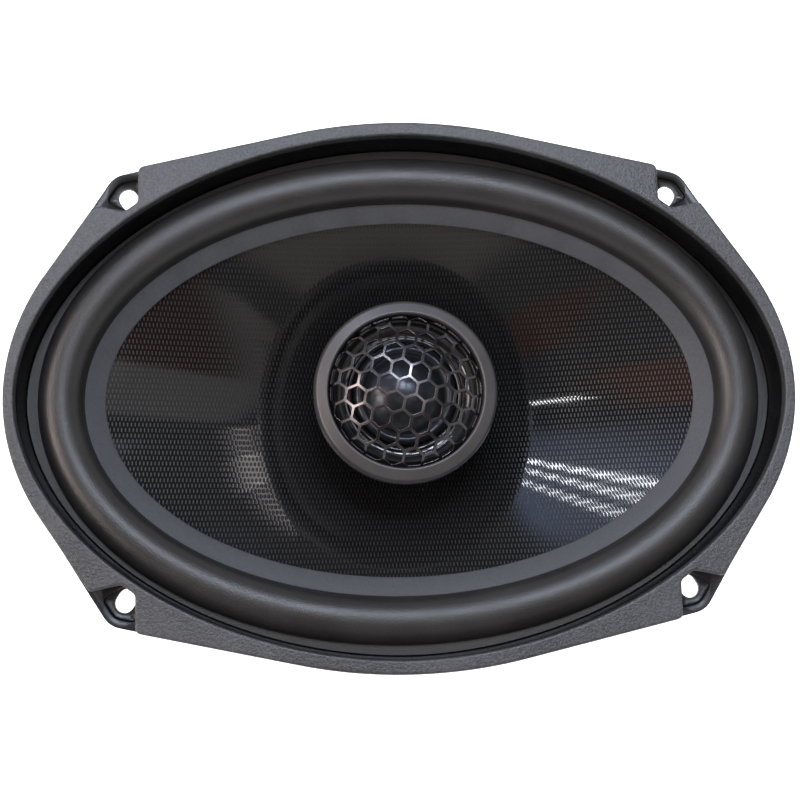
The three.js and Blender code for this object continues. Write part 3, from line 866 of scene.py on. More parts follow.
def install(
    piece: bpy.types.Object, finish: Finish, slot: str, *nodes: str, body: Body | None = Body.FRAME
) -> bpy.types.Object:
    """Dresses a piece and puts it in the frame in place of its CAD nodes.

    Args:
        piece: The new piece, in place.
        finish: Its surface.
        slot: The record's material slot that its finish belongs to. Not used.
        nodes: The CAD nodes that it stands for.
        body: The body that it rides on, or None for a piece that is left on no body.

    Returns:
        The same object.
    """
    piece.data.materials.clear()
    piece.data.materials.append(finish.material())
    if body is not None:
        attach(piece, body.value)
    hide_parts(*nodes)
    LOG.info("%s: %s, %d faces", piece.name, type(finish).__name__, len(piece.data.polygons))
    return piece


def flex(piece: bpy.types.Object, fixed: Station, moving: Station) -> None:
    """Bakes a ring's placement into its mesh and weighs each point by how far it lies from its fixed edge towards its
    moving edge; the weights are not used.

    Args:
        piece: The ring, its mesh final.
        fixed: The oval where it is held by the frame.
        moving: The oval where it is held by the cone.
    """
    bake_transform(piece)
    points = np.array([v.co for v in piece.data.vertices]) / MM
    outside = 1 - np.hypot(points[:, 0] / fixed.a, points[:, 1] / fixed.b)
    inside = np.hypot(points[:, 0] / moving.a, points[:, 1] / moving.b) - 1
    share = np.clip(outside / np.where(np.abs(outside + inside) < 1e-6, 1.0, outside + inside), 0, 1)
    share = share * share * (3 - 2 * share)


# ---- Basket and gasket --------------------------------------------------------------------------------------


@dataclass
class FlangeShape:
    """The outline that the steel flange and the gasket share: arcs at the four poles and straight flanks between.

    Attributes:
        end: Half-axes of the arcs at the ends, and the angle where they stop.
        side: Half-axes of the arcs at the sides, and the angle where they start.
        ear: Corner of a mounting ear.
    """

    end: tuple[float, float, float] = (118.1, 84.2, 23.8)
    side: tuple[float, float, float] = (113.5, 83.1, 73.5)
    ear: tuple[float, float] = (87.1, 67.1)

    def quadrant(self, middle: list[np.ndarray] | None = None) -> np.ndarray:
        """The whole outline.

        Args:
            middle: Points between the two arcs, or None for the plain ear.

        Returns:
            The outline's points, anticlockwise from +X.
        """
        first = arc(self.end[0], self.end[1], 0, self.end[2], 14)
        last = arc(self.side[0], self.side[1], self.side[2], 90, 12)
        last[-1][0] = 0
        if middle is None:
            middle = corner(first[-1], self.ear, last[0], 3.0)
        return mirrored(first + middle + last)


@dataclass
class Basket:
    """The pressed-steel basket: flange with four ears, mouth, shelf, windowed bowl, ledge, cup and floor.

    Attributes:
        sheet: Steel thickness.
        mouth: The opening in the flange.
        shelf: Outer and inner edge of the shelf that the surround is glued to.
        foot: Foot of the shelf's wall, where the bowl starts.
        ledge: Outer edge of the ledge that the spider is glued to.
        cup: Radius of the cup at its top and bottom.
        floor: Radius of the hole in the cup's floor.
        window_in: Oval that the windows start at.
        window_out: Oval that the windows end at.
        spoke: Width of a spoke.
        spokes: Plan directions of the spokes in degrees.
        window_corner: Radius of the windows' corners.
        slot: Centre, radius, length and tilt of a screw slot.
        pocket: Depth and wall run of the pressed pocket round a slot.
    """

    shape: FlangeShape = field(default_factory=FlangeShape)
    sheet: float = 1.2
    mouth: tuple[float, float] = (115.0, 79.0)
    shelf: tuple[Station, Station] = (Station(114.2, 78.6, 72.8, 1.9), Station(105, 69.5, 72.8))
    foot: Station = Station(101, 65.5, 64)
    ledge: tuple[float, float] = (47.5, 41.8)
    cup: tuple[float, float] = (41.0, 39.0)
    floor: float = 22.4
    window_in: Station = Station(55, 51, 0)
    window_out: Station = Station(96, 61.5, 0)
    spoke: float = 12.0
    spokes: tuple[int, ...] = (28, 90, 152, 208, 270, 332)
    window_corner: float = 4.5
    slot: tuple[float, float, float, float] = (82.5, 60.0, 2.8, 58.0)
    slot_length: float = 7.2
    pocket: tuple[float, float] = (0.9, 0.7)
    spoke_columns: int = 4
    window_columns: int = 24

    def columns(self, radius: np.ndarray | None, rounding: float = 0.0, half: list | None = None) -> np.ndarray:
        """Plan directions of the columns at one level, which keep the spokes at one width.

        Args:
            radius: Distance from the axis to this level at each spoke.
            rounding: How far a window's corner has curved in, from 0 to 1.
            half: Half the window's height at each spoke, in millimetres, which limits its corner.

        Returns:
            The directions in radians.
        """
        made = []
        count = len(self.spokes)
        centres = [math.radians(s) for s in self.spokes] + [math.radians(self.spokes[0] + 360)]
        for i in range(count):
            k = (i + 1) % count
            edges = []
            for n in (i, k):
                curve = min(self.window_corner, half[n]) if half else 0.0
                edges.append((self.spoke / 2 + curve * rounding) / radius[n])
            start, end = centres[i] + edges[0], centres[i + 1] - edges[1]
            made.append(np.linspace(centres[i], start, self.spoke_columns, endpoint=False))
            made.append(np.linspace(start, end, self.window_columns, endpoint=False))
            made.append(np.linspace(end, centres[i + 1], self.spoke_columns, endpoint=False))
        return np.concatenate(made)

    def open_columns(self) -> frozenset[int]:
        """The columns that lie in a window."""
        span = 2 * self.spoke_columns + self.window_columns
        start = self.spoke_columns
        windows = range(len(self.spokes))
        return frozenset(i * span + start + k for i in windows for k in range(self.window_columns))

    def plain(self, station: Station) -> np.ndarray:
        """One unbroken level of the wall."""
        spokes = np.radians(self.spokes)
        return level(station, self.columns(reach(station, spokes)))

    def bowl_height(self, angles: np.ndarray, radius: np.ndarray) -> np.ndarray:
        """Height of the bowl's inner face at a place in plan."""
        share = (radius - self.ledge[0]) / (reach(self.foot, angles) - self.ledge[0])
        return self.ledge[1] + (self.foot.z - self.ledge[1]) * share

    def window_rows(self, rows: int = 8) -> list[np.ndarray]:
        """The bowl's levels from the windows' inner edge to their outer edge.

        Args:
            rows: Levels on each side of the middle.

        Returns:
            The points of each level.
        """
        spokes = np.radians(self.spokes)
        inner, outer = reach(self.window_in, spokes), reach(self.window_out, spokes)
        half = list((outer - inner) / 2)
        made = []
        for k in range(-rows, rows + 1):
            v = math.sin(math.pi / 2 * k / rows)
            radius = inner + (outer - inner) * (v + 1) / 2
            depth = [max(0.0, 1 - (1 - abs(v)) * h / min(self.window_corner, h)) for h in half]
            rounding = 1 - math.sqrt(1 - min(1.0, max(depth)) ** 2)
            angles = self.columns(radius, rounding, half)
            low, high = reach(self.window_in, angles), reach(self.window_out, angles)
            radii = low + (high - low) * (v + 1) / 2
            made.append(polar(angles, radii, self.bowl_height(angles, radii)))
        return made

    def wall(self) -> list[tuple[np.ndarray, bool]]:
        """Every level of the wall, from the floor's hole to the mouth, and whether a window starts there."""
        flange = extent("front_gasket").bottom - 0.1
        bottom = extent("basket").bottom + self.sheet
        lower = soften(
            [
                disc(self.floor, bottom),
                disc(self.cup[1], bottom),
                disc(self.cup[0], self.ledge[1]),
                disc(self.ledge[0], self.ledge[1]),
            ],
            1.6,
            4,
            closed=False,
        )
        upper = soften(
            [
                self.foot,
                self.shelf[1],
                self.shelf[0],
                Station(self.mouth[0], self.mouth[1], flange, 1.9),
                Station(self.mouth[0] + 1.2, self.mouth[1] + 1.2, flange, 1.9),
            ],
            1.0,
            4,
            closed=False,
        )
        rows = self.window_rows()
        made = [(self.plain(s), False) for s in lower]
        made += [(row, i < len(rows) - 1) for i, row in enumerate(rows)]
        return made + [(self.plain(s), False) for s in upper]

    def pocket_outline(self, drawn_in: float) -> np.ndarray:
        """The pressed pocket of the ear at +X +Y: it follows the ear's two flanks and runs in under the gasket."""
        tip = np.array([85.8, 65.2])
        points = [tip, (79.6, 66.6), (77.4, 59.2), (82.4, 55.0), (89.6, 59.4)]
        made = []
        for i, point in enumerate(points):
            made += corner(points[i - 1], point, points[(i + 1) % len(points)], 1.9, 5)
        return inset(np.array(made), drawn_in)

    def slot_outline(self, grown: float = 0.0) -> np.ndarray:
        """The screw slot of the ear at +X +Y."""
        x, y, radius, tilt = self.slot
        radius += grown
        run = self.slot_length / 2 - self.slot[2]
        turn = np.linspace(-math.pi / 2, math.pi / 2, 13)
        cap = np.column_stack([run + radius * np.cos(turn), radius * np.sin(turn)])
        points = np.vstack([cap, -cap])
        c, s = math.cos(math.radians(tilt)), math.sin(math.radians(tilt))
        return points @ np.array([[c, s], [-s, c]]) + [x, y]

    def build(self) -> bpy.types.Object:
        """Builds the basket as one sheet and gives it its thickness.

        Returns:
            The basket.
        """
        flange = extent("front_gasket").bottom - 0.1
        net = Net()
        levels = self.wall()
        loops = [net.loop(points) for points, _ in levels]
        windows = self.open_columns()
        for i in range(len(loops) - 1):
            net.bridge(loops[i], loops[i + 1], windows if levels[i][1] else frozenset())
        rim = net.loop(at_height(self.shape.quadrant(), flange))
        pockets = []
        depth, run = self.pocket
        for sx, sy in ((1, 1), (-1, 1), (-1, -1), (1, -1)):
            flip = np.array([sx, sy])
            drop = [
                at_height(self.pocket_outline(share * run) * flip, flange - depth * (3 - 2 * share) * share * share)
                for share in (0.0, 0.25, 0.5, 0.75, 1.0)
            ]
            steps = [net.loop(points) for points in drop]
            for outer, inner in zip(steps, steps[1:]):
                net.bridge(outer, inner)
            slot = net.loop(at_height(self.slot_outline() * flip, flange - depth))
            net.fill(steps[-1], slot)
            pockets.append(steps[0])
        net.fill(rim, loops[-1], *pockets)
        piece = thicken(net.finish("basket_pressing", sharp=60, upward=True), self.sheet, 0.22)
        return install(piece, StovedSteel(), "black_steel", "basket")

    def terminal_pad(self) -> bpy.types.Object:
        """The flat boss pressed out of the cup, which the terminal board sits on.

        Returns:
            The boss.
        """
        low, high, half, back, face = 28.0, 40.6, 13.0, -37.6, -43.4
        net = Net()
        outline = np.array([(-half, low), (half, low), (half, high), (-half, high)])
        points = []
        for i in range(4):
            points += corner(outline[i - 1], outline[i], outline[(i + 1) % 4], 2.0)
        loops = []
        for drawn_in, y in ((0, back), (0, face + 0.8), (0.24, face + 0.24), (0.8, face), (1.4, face)):
            flat = inset(np.array(points), drawn_in)
            loops.append(net.loop(np.column_stack([flat[:, 0], np.full(len(flat), y), flat[:, 1]])))
        for outer, inner in zip(loops, loops[1:]):
            net.bridge(outer, inner)
        net.mesh.faces.new(loops[-1])
        net.mesh.faces.new(loops[0])
        return install(net.finish("basket_terminal_boss"), StovedSteel(), "black_steel", "basket")


@dataclass
class Gasket:
    """The foam ring on the flange, cut away in a notch at each ear.

    Attributes:
        shape: The flange outline.
        mouth: Half-axes of the opening.
        edge: Rounding of its cut edges.
        notch: Corners of a notch, from the end flank round to the side flank.
    """

    shape: FlangeShape = field(default_factory=FlangeShape)
    mouth: tuple[float, float, float] = (115.0, 79.0, 1.9)
    edge: float = 0.45
    tip: tuple[float, float] = (92.3, 57.3)
    notch: tuple[tuple[float, float], ...] = ((83.4, 55.4), (79.4, 58.3), (79.4, 69.2))

    def outline(self) -> np.ndarray:
        """The gasket's outer outline."""
        foot, low, high = self.notch
        side = arc(self.shape.side[0], self.shape.side[1], self.shape.side[2], 90, 1)[0]
        end = arc(self.shape.end[0], self.shape.end[1], 0, self.shape.end[2], 1)[1]
        middle = corner(end, self.tip, foot, 1.2, 4)
        middle += corner(self.tip, foot, low, 1.1)
        middle += corner(foot, low, high, 1.1)
        middle += corner(low, high, side, 1.8)
        return self.shape.quadrant(middle)

    def build(self) -> bpy.types.Object:
        """Builds the gasket.

        Returns:
            The gasket.
        """
        ring = extent("front_gasket")
        outline = divided(self.outline(), 1.5)
        angles = np.arctan2(outline[:, 1], outline[:, 0])
        mouth = Station(self.mouth[0], self.mouth[1], 0, self.mouth[2])
        hole = polar(angles, reach(mouth, angles), 0)[:, :2]
        edge = self.edge
        section = [(0, ring.bottom), (0, ring.top - edge), (0.3 * edge, ring.top - 0.3 * edge)]
        section += [(edge, ring.top), (2 * edge, ring.top)]
        net = Net()
        loops = [net.loop(at_height(inset(outline, drawn_in), z)) for drawn_in, z in section]
        loops += [net.loop(at_height(inset(hole, -drawn_in), z)) for drawn_in, z in reversed(section)]
        for i, loop in enumerate(loops):
            net.bridge(loop, loops[(i + 1) % len(loops)])
        return install(net.finish("gasket_ring", sharp=60), FoamGasket(), "gasket_foam", "front_gasket")


# ---- Cone and suspension ------------------------------------------------------------------------------------


@dataclass
class Suspension:
    """The rubber surround, with its half roll and its glued lip, and the corrugated spider behind the cone.

    Attributes:
        rim: Outer edge of the surround.
        roll_out: Outer foot of the half roll.
        roll_in: Inner foot of the half roll.
        rise: Height of the half roll.
        lip: Inner edge of the lip.
        thickness: Rubber thickness.
        spider_hole: Radius of the spider's hole.
        waves: Number of corrugations, their height, and the radii between which they lie.
        cloth: Thickness of the spider's cloth.
    """

    rim: Station = Station(113.9, 78.2, 73.6, 1.9)
    roll_out: Station = Station(110.6, 75.4, 73.6)
    roll_in: Station = Station(96.8, 60.9, 73.6)
    rise: float = 6.2
    lip: Station = Station(90.9, 55.2, 71.3)
    thickness: float = 0.7
    spider_hole: float = 18.5
    waves: tuple[int, float, float, float] = (5, 1.4, 21.0, 40.5)
    cloth: float = 0.5

    def surround(self) -> bpy.types.Object:
        """Builds the flat rim and the half roll.

        Returns:
            The roll, which spans from the basket to the cone.
        """
        top = [self.rim, Station(112.2, 76.8, 73.6, 1.95)]
        steps = 28
        for i in range(steps + 1):
            t = math.pi * i / steps
            share = (1 - math.cos(t)) / 2
            a = self.roll_out.a + (self.roll_in.a - self.roll_out.a) * share
            b = self.roll_out.b + (self.roll_in.b - self.roll_out.b) * share
            top.append(Station(a, b, self.roll_out.z + self.rise * math.sin(t) ** 0.92))
        under = [Station(s.a, s.b, s.z - self.thickness, s.power) for s in top]
        piece = sweep("surround_roll", top + under[::-1], OVAL)
        install(piece, ButylRubber(), "surround_rubber", "surround", body=None)
        flex(piece, self.roll_out, self.roll_in)
        return piece

    def glued_lip(self) -> bpy.types.Object:
        """Builds the sloping lip that is glued on the cone's edge.

        Returns:
            The lip, which rides on the cone.
        """
        joint = Station(self.roll_in.a + 0.1, self.roll_in.b + 0.1, self.roll_in.z + 0.1)
        drop = self.thickness * 0.5
        section = [joint, self.lip, self.lip._replace(z=self.lip.z - drop), joint._replace(z=joint.z - self.thickness)]
        return install(
            sweep("surround_lip", soften(section, 0.35), OVAL),
            GluedRubber(),
            "surround_rubber",
            "surround",
            body=Body.CONE,
        )

    def spider(self) -> bpy.types.Object:
        """Builds the corrugated cloth disc that centres the coil.

        Returns:
            The spider, which spans from the ledge to the coil former.
        """
        disc_box = extent("spider")
        count, height, start, end = self.waves
        base = disc_box.top - height
        top = [(self.spider_hole, base), (start - 0.6, base)]
        for share in np.linspace(0, 1, count * 12 + 1):
            top.append((start + (end - start) * share, base + height * math.sin(TURN * count * share)))
        top += [(end + 0.8, base), (disc_box.reach, base)]
        under = [(r, z - self.cloth) for r, z in reversed(top)]
        piece = sweep("spider_cloth", [disc(r, z) for r, z in top + under])
        install(piece, ResinedCotton(), "cotton_cloth", "spider", body=None)
        flex(piece, disc(end + 2.0, 0), disc(start - 1.5, 0))
        return piece


@dataclass
class ConeAssembly:
    """The woven cone with the coil former, its winding and the felt seal round the tweeter post.

    Attributes:
        neck: Radius and height of the cone's neck.
        edge: The cone's outer edge.
        bend: Power that gives the cone's gentle curve.
        skin: Cone thickness.
        former: Inner and outer radius of the former.
        turns: Turns of wire that show on the winding.
        seal_hole: Radius of the felt's hole.
    """

    neck: tuple[float, float] = (18.4, 45.0)
    edge: Station = Station(96.2, 60.3, 72.1)
    bend: float = 0.85
    skin: float = 0.8
    former: tuple[float, float] = (17.75, 18.05)
    turns: int = 30
    seal_hole: float = 7.4

    def cone(self) -> bpy.types.Object:
        """Builds the cone.

        Returns:
            The cone.
        """
        radius, height = self.neck
        front = []
        for share in np.linspace(0, 1, 44):
            a = radius + (self.edge.a - radius) * share
            b = radius + (self.edge.b - radius) * share
            front.append(Station(a, b, height + (self.edge.z - height) * share**self.bend))
        back = [s._replace(z=s.z - self.skin) for s in reversed(front)]
        piece = sweep("cone_skin", front + back, OVAL)
        return install(piece, GlazedWeave(), "cone_skin", "cone", body=Body.CONE)

    def coil(self) -> list[bpy.types.Object]:
        """Builds the former and the winding on it.

        Returns:
            The two pieces.
        """
        tube = extent("voice_coil_former")
        inner, outer = self.former
        profile = [(inner, tube.bottom), (outer, tube.bottom), (outer, tube.top), (inner, tube.top)]
        former = turned("coil_former", profile, 0.1)
        install(former, PolyimideFilm(), "polyimide_film", "voice_coil_former", body=Body.CONE)
        wire = extent("voice_coil_winding")
        pitch = (wire.top - wire.bottom) / self.turns
        outside = []
        for i in range(self.turns):
            for share, out in ((0.0, 0.16), (0.2, 0.04), (0.5, 0.0), (0.8, 0.04)):
                outside.append((wire.reach - out, wire.bottom + (i + share) * pitch))
        hole = outer + 0.15
        section = [(hole, wire.bottom)] + outside + [(wire.reach - 0.16, wire.top), (hole, wire.top)]
        winding = sweep("coil_winding", [disc(r, z) for r, z in section])
        install(winding, EnamelledCopper(), "copper_wire", "voice_coil_winding", body=Body.CONE)
        return [former, winding]

    def seal(self) -> bpy.types.Object:
        """Builds the felt ring that closes the gap round the post.

        Returns:
            The felt.
        """
        felt = extent("dust_seal")
        hole = self.seal_hole
        profile = [(hole, felt.bottom), (felt.reach, felt.bottom), (felt.reach, felt.top), (hole, felt.top)]
        piece = turned("felt_seal", profile, 0.35)
        return install(piece, PressedFelt(), "felt", "dust_seal", body=Body.CONE)


# ---- Motor --------------------------------------------------------------------------------------------------


@dataclass
class Motor:
    """The magnet motor: back plate with its pole, ferrite ring, front plate, and the rivets through the basket.

    Attributes:
        plate: Thickness of the back plate.
        pole: Radius of the pole.
        bore: Radius of the screw's bore, then radius and depth of its sink.
        magnet_hole: Radius of the hole in the ferrite.
        gap_hole: Radius of the hole in the front plate.
        rivet: Radius of a rivet's shank, and how far out it stands.
        rivet_turns: Plan directions of the rivets in degrees.
    """

    plate: float = 5.0
    pole: float = 17.2
    bore: tuple[float, float, float] = (3.2, 6.2, 4.2)
    magnet_hole: float = 23.0
    gap_hole: float = 19.4
    rivet: tuple[float, float] = (1.9, 31.0)
    rivet_turns: tuple[int, ...] = (45, 135, 225, 315)

    def build(self) -> list[bpy.types.Object]:
        """Builds the plates and the magnet.

        Returns:
            The pieces.
        """
        steel = extent("t_yoke")
        hole, sink, sink_depth = self.bore
        yoke = [
            (sink, 0),
            (steel.reach, 0),
            (steel.reach, self.plate),
            (self.pole, self.plate),
            (self.pole, steel.top),
            (hole, steel.top),
            (hole, sink_depth),
            (sink, sink_depth),
        ]
        ferrite = extent("magnet_ring")
        plate = extent("front_plate")
        return [
            install(turned("back_plate_and_pole", yoke, 0.9), ZincPlate(), "zinc_plate", "t_yoke"),
            install(
                turned("ferrite_ring", self.washer(self.magnet_hole, ferrite), 1.3),
                GroundFerrite(),
                "ferrite",
                "magnet_ring",
            ),
            install(
                turned("top_plate", self.washer(self.gap_hole, plate), 0.6), ZincPlate(), "zinc_plate", "front_plate"
            ),
        ]

    @staticmethod
    def washer(hole: float, box: Extent) -> list[tuple[float, float]]:
        """The profile of a plain ring."""
        return [(hole, box.bottom), (box.reach, box.bottom), (box.reach, box.top), (hole, box.top)]

    def rivets(self) -> list[bpy.types.Object]:
        """Builds the stake rivets, domed with a punch mark.

        Returns:
            The rivets.
        """
        made = []
        shank, distance = self.rivet
        for i, degrees in enumerate(self.rivet_turns):
            node = f"stake_rivet_{i + 1}"
            low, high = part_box(node)
            bottom, top, head = low.z / MM, high.z / MM, (high.x - low.x) / 2 / MM
            under = extent("basket").bottom + 1.3
            profile = [(0, bottom), (shank, bottom), (shank, under), (head, under)]
            profile += [(head * 0.8, top - 0.25), (head * 0.35, top), (0, top - 0.35)]
            piece = turned("rivet_head_" + str(i + 1), profile, 0.3, angles=SMALL)
            turn = math.radians(degrees)
            place = Vector((math.cos(turn), math.sin(turn), 0)) * distance * MM
            shifted(piece, Matrix.Translation(place))
            made.append(install(piece, ZincPlate(), "zinc_plate", node))
        return made


# ---- Tweeter ------------------------------------------------------------------------------------------------


@dataclass
class Tweeter:
    """The tweeter on its post: housing, bezel, honeycomb grille, face plate, dome and its own small motor.

    Attributes:
        post: Radii of the post's foot, shaft and bore, and the height where the bore ends.
        housing: Radius of its foot, wall thickness and radius of its wire hole.
        bezel_hole: Radius of the bezel's opening.
        shoulder: Width and height of the bezel's rounded outer corner, and how far its face falls to it.
        cap: Radius and rise of the grille's dome.
        mesh: Pitch of the honeycomb, width of its bars, thickness and turn in radians.
        plate_hole: Radius of the face plate's opening.
        dome: Radius and rise of the dome, and rise of its roll.
        yoke: Inner radius of the cup and thickness of its floor.
    """

    post: tuple[float, float, float, float] = (10.0, 5.2, 2.7, 48.0)
    housing: tuple[float, float, float] = (20.0, 1.6, 3.0)
    bezel_hole: float = 23.3
    shoulder: tuple[float, float, float] = (1.4, 3.2, 0.75)
    cap: tuple[float, float, float] = (23.1, 82.4, 7.8)
    mesh: tuple[float, float, float, float] = (5.8, 0.92, 0.7, -0.21)
    plate_hole: float = 15.9
    dome: tuple[float, float, float] = (12.4, 4.6, 0.9)
    film: float = 0.4
    yoke: tuple[float, float] = (13.2, 2.4)

    def stand(self) -> list[bpy.types.Object]:
        """Builds the post, its screw and the housing.

        Returns:
            The pieces.
        """
        rod = extent("tweeter_post")
        foot, shaft, bore, blind = self.post
        profile = [
            (0, blind),
            (bore, blind),
            (bore, rod.bottom),
            (foot, rod.bottom),
            (foot, rod.bottom + 2.6),
            (shaft + 1, rod.bottom + 5.6),
            (shaft, rod.bottom + 12),
            (shaft, rod.top),
            (0, rod.top),
        ]
        pieces = [install(turned("post_pillar", profile, 0.5), MouldedAbs(), "black_plastic", "tweeter_post")]
        pieces.append(self.screw())
        cup = extent("tweeter_housing")
        base, wall, hole = self.housing
        profile = [
            (hole, cup.bottom),
            (base, cup.bottom),
            (cup.reach - 1.6, cup.bottom + 6),
            (cup.reach, cup.bottom + 10),
            (cup.reach, cup.top),
            (cup.reach - wall, cup.top),
            (cup.reach - wall, cup.bottom + 10.4),
            (base - wall / 2, cup.bottom + wall),
            (hole, cup.bottom + wall),
        ]
        pieces.append(install(turned("housing_cup", profile, 1.2), MouldedAbs(), "black_plastic", "tweeter_housing"))
        return pieces

    def screw(self) -> bpy.types.Object:
        """Builds the socket screw that holds the post, seen from behind in its sink.

        Returns:
            The screw.
        """
        box = extent("post_screw")
        head_top, shank, flat, socket = 4.0, 2.4, 2.0, 2.2
        angles = np.linspace(0, TURN, 48, endpoint=False)
        hexagon = flat / np.cos((angles % (TURN / 6)) - TURN / 12)
        net = Net()
        loops = [net.loop(polar(angles, np.zeros(48), box.bottom + socket))]
        loops += [net.loop(polar(angles, hexagon, box.bottom + depth)) for depth in (socket, 0.25)]
        loops.append(net.loop(polar(angles, hexagon + 0.25, box.bottom)))
        outside = [
            disc(box.reach - 0.7, box.bottom),
            disc(box.reach, box.bottom + 0.7),
            disc(box.reach, head_top),
            disc(shank, head_top),
            disc(shank, box.top),
            disc(0, box.top),
        ]
        loops += [net.loop(level(s, angles)) for s in outside]
        for first, second in zip(loops, loops[1:]):
            net.bridge(first, second)
        return install(net.finish("socket_screw", 35), ZincPlate(), "zinc_plate", "post_screw")

    def bezel(self) -> bpy.types.Object:
        """Builds the ring round the grille: a sloping face that rolls over into its outer wall.

        Returns:
            The bezel.
        """
        ring = extent("tweeter_bezel")
        outer, top, hole = ring.reach, ring.top, self.bezel_hole
        corner_in, corner_down, drop = self.shoulder
        section = [(hole, ring.bottom), (outer - 0.6, ring.bottom), (outer, ring.bottom + 0.8)]
        for turn in np.linspace(0, math.pi / 2, 9):
            out = outer - corner_in * (1 - math.cos(turn))
            section.append((out, top - drop - corner_down * (1 - math.sin(turn))))
        section += [(hole + 0.8, top - 0.06), (hole + 0.5, top), (hole + 0.15, top - 0.2), (hole, top - 0.7)]
        piece = sweep("bezel_ring", [disc(r, z) for r, z in section], sharp=60)
        return install(piece, SatinLacquer(), "satin_grey", "tweeter_bezel")

    def cells(self) -> list[np.ndarray]:
        """The holes of the honeycomb in plan: whole hexagons, and cut ones where they meet the rim.

        Returns:
            One outline for each hole.
        """
        pitch, bar, _, turn = self.mesh
        radius = self.cap[0] - 0.45
        rings = 5
        rim = np.linspace(0, TURN, 96, endpoint=False)
        walls = [(np.array([math.cos(t), math.sin(t)]), radius) for t in rim]
        made = []
        for u in range(-rings, rings + 1):
            for v in range(-rings, rings + 1):
                centre = np.array([(u + v / 2) * pitch, v * pitch * math.sqrt(3) / 2])
                if np.linalg.norm(centre) > radius + pitch:
                    continue
                corners = [centre + (pitch - bar) / math.sqrt(3) * np.array([math.sin(t), math.cos(t)])
                           for t in np.arange(6) * TURN / 6]
                for normal, limit in walls:
                    corners = clip(corners, normal, limit)
                if len(corners) > 2 and area(corners) > 0.12 * pitch * pitch:
                    made.append(rounded(corners, 0.35))
        c, s = math.cos(turn), math.sin(turn)
        return [np.array(cell) @ np.array([[c, s], [-s, c]]) for cell in made]

    def grille(self) -> bpy.types.Object:
        """Builds the domed honeycomb.

        Returns:
            The grille.
        """
        radius, edge, rise = self.cap
        net = Net()
        rim = net.loop(polar(ROUND, np.full(len(ROUND), radius), 0))
        net.fill(rim, *[net.loop(at_height(cell, 0)) for cell in self.cells()])
        bmesh.ops.subdivide_edges(net.mesh, edges=[e for e in net.mesh.edges if e.calc_length() > 1.6], cuts=1)
        for vert in net.mesh.verts:
            share = min(1.0, math.hypot(vert.co.x, vert.co.y) / radius)
            vert.co.z = edge + rise * (1 - share**2.2) ** 0.9
        piece = thicken(net.finish("grille_honeycomb", 30, upward=True), self.mesh[2], 0.16)
        return install(piece, BlackNickel(), "dark_nickel", "tweeter_grille")

    def face_plate(self) -> bpy.types.Object:
        """Builds the ring round the dome: a flat step, a groove and a wall that curves up to the grille.

        Returns:
            The face plate.
        """
        plate = extent("tweeter_face_plate")
        low, outer, hole = plate.bottom, plate.reach, self.plate_hole
        top, rise = low + 1.6, plate.top - low - 1.6
        profile = [(hole, low), (outer, low), (outer, plate.top), (outer - 0.5, plate.top)]
        for share in np.linspace(1, 0, 9):
            profile.append((outer - 5.2 + 4.4 * share, top - 0.5 + (rise + 0.4) * share**2.2))
        profile += [(outer - 5.4, top), (hole + 1.0, top), (hole, top - 0.6)]
        piece = turned("face_plate_ring", profile, 0.25)
        return install(piece, PolishedAbs(), "black_plastic", "tweeter_face_plate")

    def diaphragm(self) -> list[bpy.types.Object]:
        """Builds the dome with its half roll, and the coil under it.

        Returns:
            The two pieces.
        """
        film = extent("tweeter_dome")
        radius, rise, roll_rise = self.dome
        foot = film.bottom + self.film
        sphere = (radius * radius + rise * rise) / (2 * rise)
        over = [(r, foot + rise - sphere + math.sqrt(sphere * sphere - r * r)) for r in np.linspace(0, radius, 22)]
        for share in np.linspace(0, 1, 12)[1:]:
            over.append((radius + (film.reach - radius) * share, foot + roll_rise * math.sin(share * math.pi)))
        under = [(r, z - self.film) for r, z in reversed(over)]
        dome = sweep("dome_film", [disc(r, z) for r, z in over + under], closed=False, sharp=70)
        install(dome, DomeFilm(), "dome_film", "tweeter_dome", body=Body.DIAPHRAGM)
        wire = extent("tweeter_coil")
        hole = wire.reach - 0.5
        coil = turned("dome_coil", Motor.washer(hole, wire), 0.12)
        install(coil, EnamelledCopper(), "copper_wire", "tweeter_coil", body=Body.DIAPHRAGM)
        return [dome, coil]

    def motor(self) -> list[bpy.types.Object]:
        """Builds the tweeter's cup, magnet and pole cap.

        Returns:
            The pieces.
        """
        cup, magnet, cap = extent("tweeter_yoke"), extent("tweeter_magnet"), extent("tweeter_pole_cap")
        hole, floor = self.yoke
        profile = [(0, cup.bottom), (cup.reach, cup.bottom), (cup.reach, cup.top), (hole, cup.top)]
        profile += [(hole, cup.bottom + floor), (0, cup.bottom + floor)]
        made = [install(turned("tweeter_cup", profile), ZincPlate(), "zinc_plate", "tweeter_yoke")]
        for name, box, node, finish, slot in (
            ("tweeter_disc", magnet, "tweeter_magnet", NickelPlate(), "nickel_plate"),
            ("tweeter_cap", cap, "tweeter_pole_cap", ZincPlate(), "zinc_plate"),
        ):
            profile = [(0, box.bottom), (box.reach, box.bottom), (box.reach, box.top), (0, box.top)]
            made.append(install(turned(name, profile), finish, slot, node))
        return made


def area(corners: Sequence[np.ndarray]) -> float:
    """Area of a flat outline."""
    return abs(sum(p[0] * q[1] - p[1] * q[0] for p, q in zip(corners, list(corners[1:]) + [corners[0]]))) / 2


def clip(corners: list[np.ndarray], normal: np.ndarray, limit: float) -> list[np.ndarray]:
    """Cuts an outline along a straight line.

    Args:
        corners: The outline.
        normal: Direction that points off the kept side.
        limit: Distance of the line from the origin.

    Returns:
        The outline that is left.
    """
    made = []
    for i, here in enumerate(corners):
        there = corners[(i + 1) % len(corners)]
        over, over_next = here @ normal - limit, there @ normal - limit
        if over <= 0:
            made.append(here)
        if over * over_next < 0:
            made.append(here + (there - here) * over / (over - over_next))
    return made


